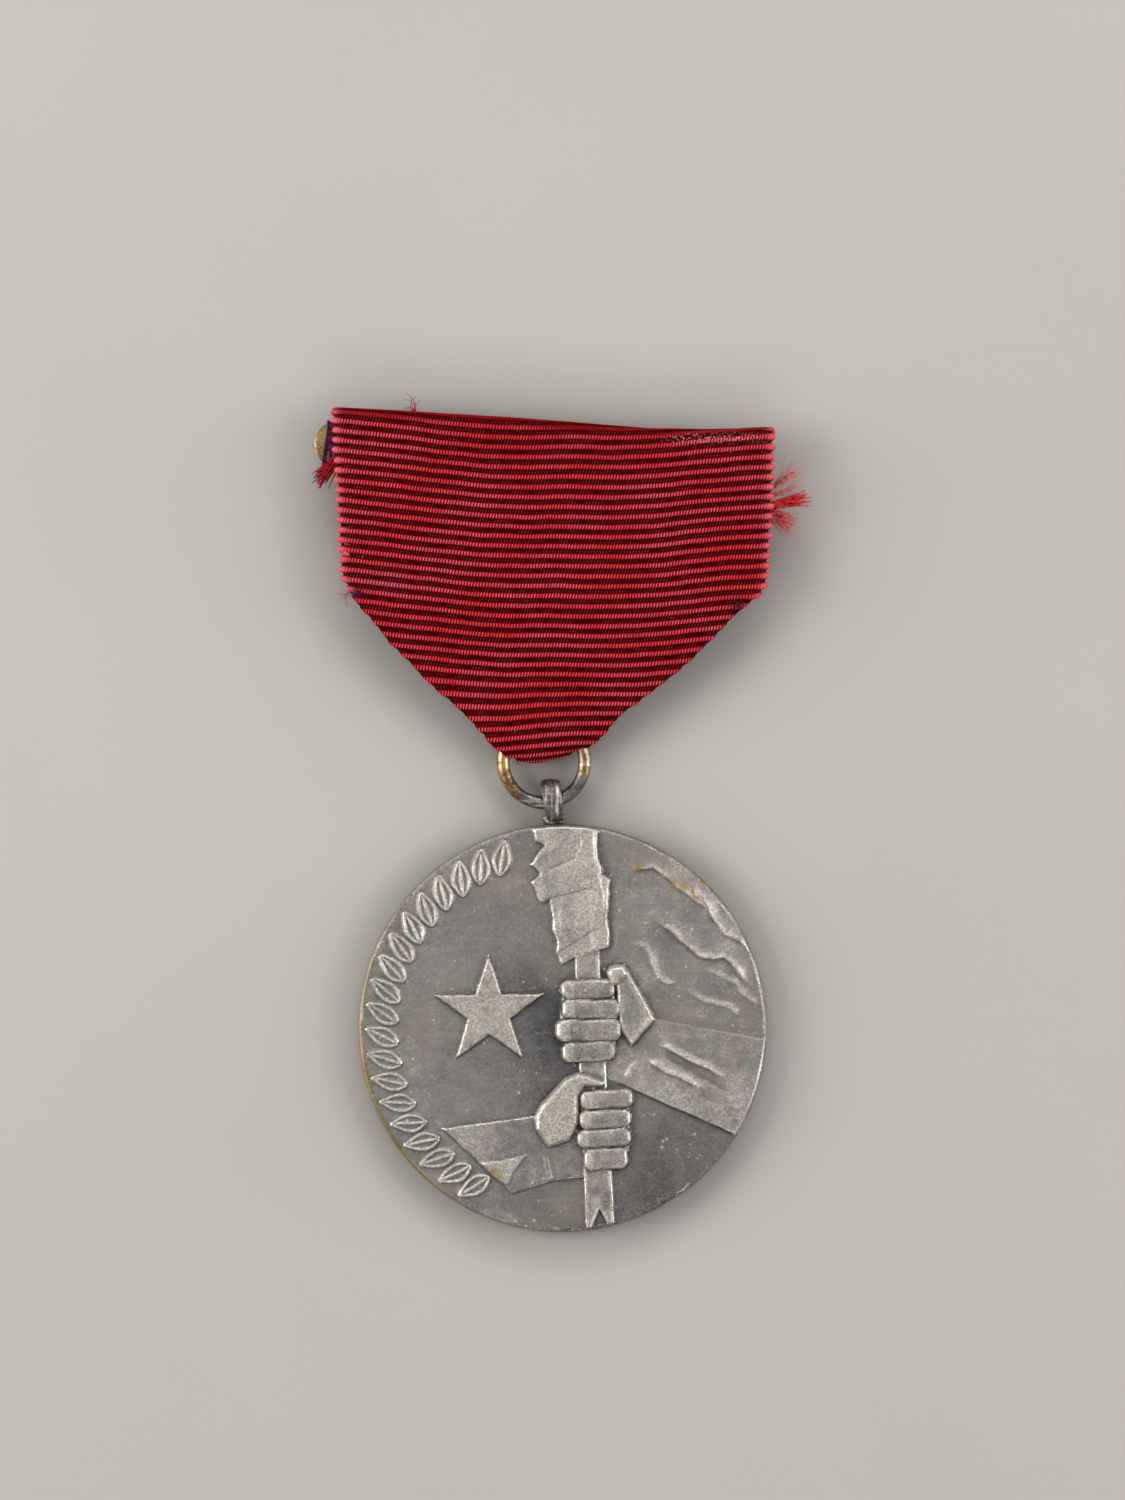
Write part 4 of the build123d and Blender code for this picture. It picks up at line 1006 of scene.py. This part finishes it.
    # the weave is laid out on the flat strip
    strip = np.where(c < first, face_x[:, [first]] - beyond_left * EDGE_COLUMN, face_x)
    strip = np.where(c > last, face_x[:, [last]] + beyond_right * EDGE_COLUMN, strip)
    weave = np.empty((len(flat), 2))
    weave[order] = np.stack([strip, s / RIB_PITCH - RIB_PHASE], -1).reshape(-1, 2)
    corner_vertex = np.empty(len(mesh.loops), int)
    mesh.loops.foreach_get("vertex_index", corner_vertex)
    layer = mesh.uv_layers.new(name="weave")
    layer.data.foreach_set("uv", weave[corner_vertex].astype(np.float32).ravel())
    piece = new_object("ribbon", mesh, None, CLOTH, ("ribbon_upper", "ribbon_lower"))
    return piece, total


ribbon_piece, strip_length = ribbon()


# ---- Threads ----
BAR_SLOPE = math.radians(-2.4)
BAR_HALF_LENGTH = 19.0            # millimetres
BAR_HALF_WIDTH = 2.0              # its ends are round


def at(x, y, z):
    """A place given in millimetres."""
    return Vector((x * MM, y * MM, z * MM))


def strands(name, paths, body, material, replaced=()):
    """Several thin threads as one piece. Each path is (points, root radius, tip radius), in metres."""
    curve = bpy.data.curves.new(name, "CURVE")
    curve.dimensions = "3D"
    curve.bevel_depth = 1.0
    curve.bevel_resolution = 1
    curve.use_fill_caps = True
    for points, root, tip in paths:
        spline = curve.splines.new("NURBS")
        spline.points.add(len(points) - 1)
        for index, (control, point) in enumerate(zip(spline.points, points)):
            control.co = (*point, 1.0)
            control.radius = root + (tip - root) * index / (len(points) - 1)
        spline.order_u = 3
        spline.use_endpoint_u = True
        spline.resolution_u = 4
    holder = show(name + "_curve", curve)
    bpy.context.view_layer.update()
    mesh = bpy.data.meshes.new_from_object(holder)
    bpy.data.objects.remove(holder)
    mesh.name = name
    mesh.shade_smooth()
    return new_object(name, mesh, body, material, replaced)


def fan(rng, root, heading, spread, count, length, thick, curl=0.3, flatten=0.35, root_spread=0.2):
    """Loose fibres that fan out from a root: strand paths. Lengths in millimetres, headings in degrees."""
    paths = []
    for _ in range(count):
        angle = math.radians(heading + rng.uniform(-spread, spread))
        rise = rng.uniform(-flatten, flatten)
        reach = length * rng.uniform(0.55, 1.0)
        bend = rng.uniform(-curl, curl)
        start = Vector(root) + Vector([rng.uniform(-root_spread, root_spread) for _ in range(3)]) * MM
        points = []
        for index in range(5):
            t = index / 4
            a = angle + bend * t * t
            points.append(start + Vector((math.cos(a), math.sin(a), rise * t)) * reach * t * MM)
        paths.append((points, thick * MM, thick * 0.5 * MM))
    return paths


def frayed_ends():
    """Fibres of the cut end that stick out at both sides, and a few stray hairs."""
    rng = random.Random(7)
    level = HEM_LOW + 0.25
    hairs = fan(rng, at(18.1, 46.6, level), 43, 15, count=40, length=3.3, thick=0.018, curl=0.35)
    hairs += fan(rng, at(18.0, 45.9, level), 20, 12, count=30, length=3.2, thick=0.016)
    hairs += fan(rng, at(18.0, 44.2, level), -32, 18, count=60, length=2.7, thick=0.02, root_spread=0.45)
    bundle = fan(rng, at(17.9, 45.0, level), 13, 8, count=110, length=3.4, thick=0.034, curl=0.12,
                 root_spread=0.3)
    bundle += fan(rng, at(17.9, 44.4, level), -25, 16, count=40, length=2.5, thick=0.026, curl=0.2,
                  root_spread=0.35)
    tuft = fan(rng, at(-19.5, 48.8, level), 228, 13, count=70, length=2.5, thick=0.07, curl=0.12,
               flatten=0.15, root_spread=0.42)
    stray = fan(rng, at(-12.7, 52.95, 4.3), 105, 32, count=8, length=1.8, thick=0.032, curl=1.2,
                root_spread=0.1)
    stray += fan(rng, at(-18.4, 37.4, 4.0), 200, 50, count=8, length=1.3, thick=0.02, curl=1.2)
    for name, paths, material in (("fray_right_hairs", hairs, PINK_FIBRE),
                                  ("fray_right_bundle", bundle, RED_THREAD),
                                  ("fray_left_tuft", tuft, CRIMSON_THREAD),
                                  ("stray_hairs", stray, CRIMSON_THREAD)):
        strands(name, paths, "brooch", material)


def knot(name, node_name, body, across):
    """A small tack: a few turns of thread over the folded corner, and its loose fibres."""
    low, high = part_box(node_name)
    centre = (low + high) / 2
    rng = random.Random(len(name))
    paths = []
    for _ in range(8):
        a = math.radians(across + rng.uniform(-60, 60))
        half = at(math.cos(a), math.sin(a), 0) * rng.uniform(0.16, 0.3)
        middle = centre + at(rng.uniform(-0.17, 0.17), rng.uniform(-0.15, 0.15), 0)
        lift = at(0, 0, rng.uniform(0.08, 0.22))
        points = [middle + half * share + lift * up for share, up in ((-1, -1), (-0.5, 1), (0.5, 1), (1, -1))]
        paths.append((points, 0.07 * MM, 0.065 * MM))
    paths += fan(rng, centre, 0, 180, count=12, length=1.0, thick=0.02, curl=1.4)
    strands(name, paths, body, PURPLE_THREAD, (node_name,))


def bar_wraps():
    """Sewing thread wound round the bar: groups behind the ribbon and a few loose turns at its bare end."""
    rng = random.Random(12)
    low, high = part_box("brooch_bar")
    centre = (low + high) / 2
    along = Vector((math.cos(BAR_SLOPE), math.sin(BAR_SLOPE), 0))
    side = Vector((-along.y, along.x, 0))
    round_from = BAR_HALF_LENGTH - BAR_HALF_WIDTH
    over = (high.z - low.z) / 2 + 0.1 * MM
    thick = 0.11 * MM

    def turn(place, slant, whole):
        """One turn of thread at a place along the bar, all the way round or open at the front."""
        half = math.sqrt(BAR_HALF_WIDTH ** 2 - max(abs(place) - round_from, 0) ** 2) + 0.1
        corners = [(half - 0.3, 1), (half, 1), (half, -1), (half - 0.3, -1), (0.3 - half, -1), (-half, -1),
                   (-half, 1), (0.3 - half, 1)]
        corners = corners + corners[:1] if whole else corners[1:-1]
        points = []
        for across, up in corners:
            x = place + slant * across / half
            points.append(centre + along * x * MM + side * across * MM + Vector((0, 0, up * over)))
        paths.append((points, thick, thick))

    paths = []
    for middle in (-10.0, 0.0, 10.0):
        for count in range(4):
            turn(middle + (count - 1.5) * 0.4 + rng.uniform(-0.06, 0.06), rng.uniform(-0.15, 0.15), False)
    for count in range(6):
        turn(-17.25 - 0.15 * count, rng.uniform(-0.22, 0.22), True)
    loose = centre + along * -17.9 * MM + Vector((0, 0, over))
    paths += fan(rng, loose, 250, 70, count=14, length=1.3, thick=0.02, curl=1.3, flatten=0.15,
                 root_spread=0.5)
    strands("bar_wraps", paths, "brooch", PURPLE_THREAD, ("bar_stitches",))


frayed_ends()
bar_wraps()
knot("tack_left", "corner_stitch_left", "ribbon_end", 60)
knot("tack_right", "corner_stitch_right", "ribbon_end", 30)


# ---- CAD pieces that keep their shape ----
def refinish():
    """Gives the plain CAD pieces their materials."""
    finishes = {"brooch_bar": BRASS, "pin_hinge_bracket": BRASS, "hinge_rivet": BRASS, "catch_hook": BRASS,
                "pin_stem": STEEL, "hem_stitches": PURPLE_THREAD}
    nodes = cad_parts
    for name, material in finishes.items():
        piece = nodes[name]
        piece = bpy.data.objects[piece] if isinstance(piece, str) else piece
        piece.data.materials.clear()
        piece.data.materials.append(material)


refinish()

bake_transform(ribbon_piece)


# ---- Table, light and camera ----
VIEW_CENTRE = Vector((-0.03 * MM, 24 * MM, 0))
VIEW_WIDTH = 96.7326 * MM         # what the camera sees across, at the medal's middle height
MIDDLE_HEIGHT = 3.5 * MM
CAMERA_HEIGHT = 0.5               # above that, in metres
SENSOR_WIDTH = 36
# name, place, size, power, colour
LIGHTS = [("left", (-0.42, 0.05, 0.22), (0.25, 0.45), 1.7, (1, 0.99, 0.97)),
          ("right", (0.42, 0.05, 0.22), (0.25, 0.45), 1.25, (1, 0.98, 0.96)),
          ("above", (0, 0.03, 0.9), (0.35, 0.35), 0.4, (1, 1, 1)),
          ("far", (0, 0.5, 0.35), (0.5, 0.25), 1.3, (1, 1, 1)),
          ("near", (0, -0.45, 0.4), (0.5, 0.2), 0.5, (1, 1, 1))]


def stage():
    bm = bmesh.new()
    bmesh.ops.create_grid(bm, x_segments=2, y_segments=2, size=1.5)
    floor = show("tabletop", mesh_from(bm, "tabletop"))
    floor.data.materials.append(tabletop())
    floor.location.z = cad_box[0].z - 0.02 * MM

    aim = Vector((0, VIEW_CENTRE.y, 0))
    for name, place, size, power, colour in LIGHTS:
        light = bpy.data.lights.new(name, "AREA")
        light.shape = "RECTANGLE"
        light.size, light.size_y = size
        light.energy = power
        light.color = colour
        lamp = show(name, light)
        lamp.location = place
        lamp.rotation_euler = (aim - Vector(place)).to_track_quat("-Z", "Y").to_euler()
    scene = bpy.context.scene
    scene.world = bpy.data.worlds.new("soft grey")
    scene.world.use_nodes = True
    background = scene.world.node_tree.nodes["Background"]
    background.inputs["Color"].default_value = (0.95, 0.96, 1.0, 1)
    background.inputs["Strength"].default_value = 0.2

    camera = bpy.data.cameras.new("camera")
    camera.sensor_fit = "HORIZONTAL"
    camera.sensor_width = SENSOR_WIDTH
    camera.lens = SENSOR_WIDTH * CAMERA_HEIGHT / VIEW_WIDTH
    camera.clip_start = 0.01
    scene.camera = show("camera", camera)
    scene.camera.location = VIEW_CENTRE + Vector((0, 0, MIDDLE_HEIGHT + CAMERA_HEIGHT))
    scene.view_settings.view_transform = "Standard"


stage()
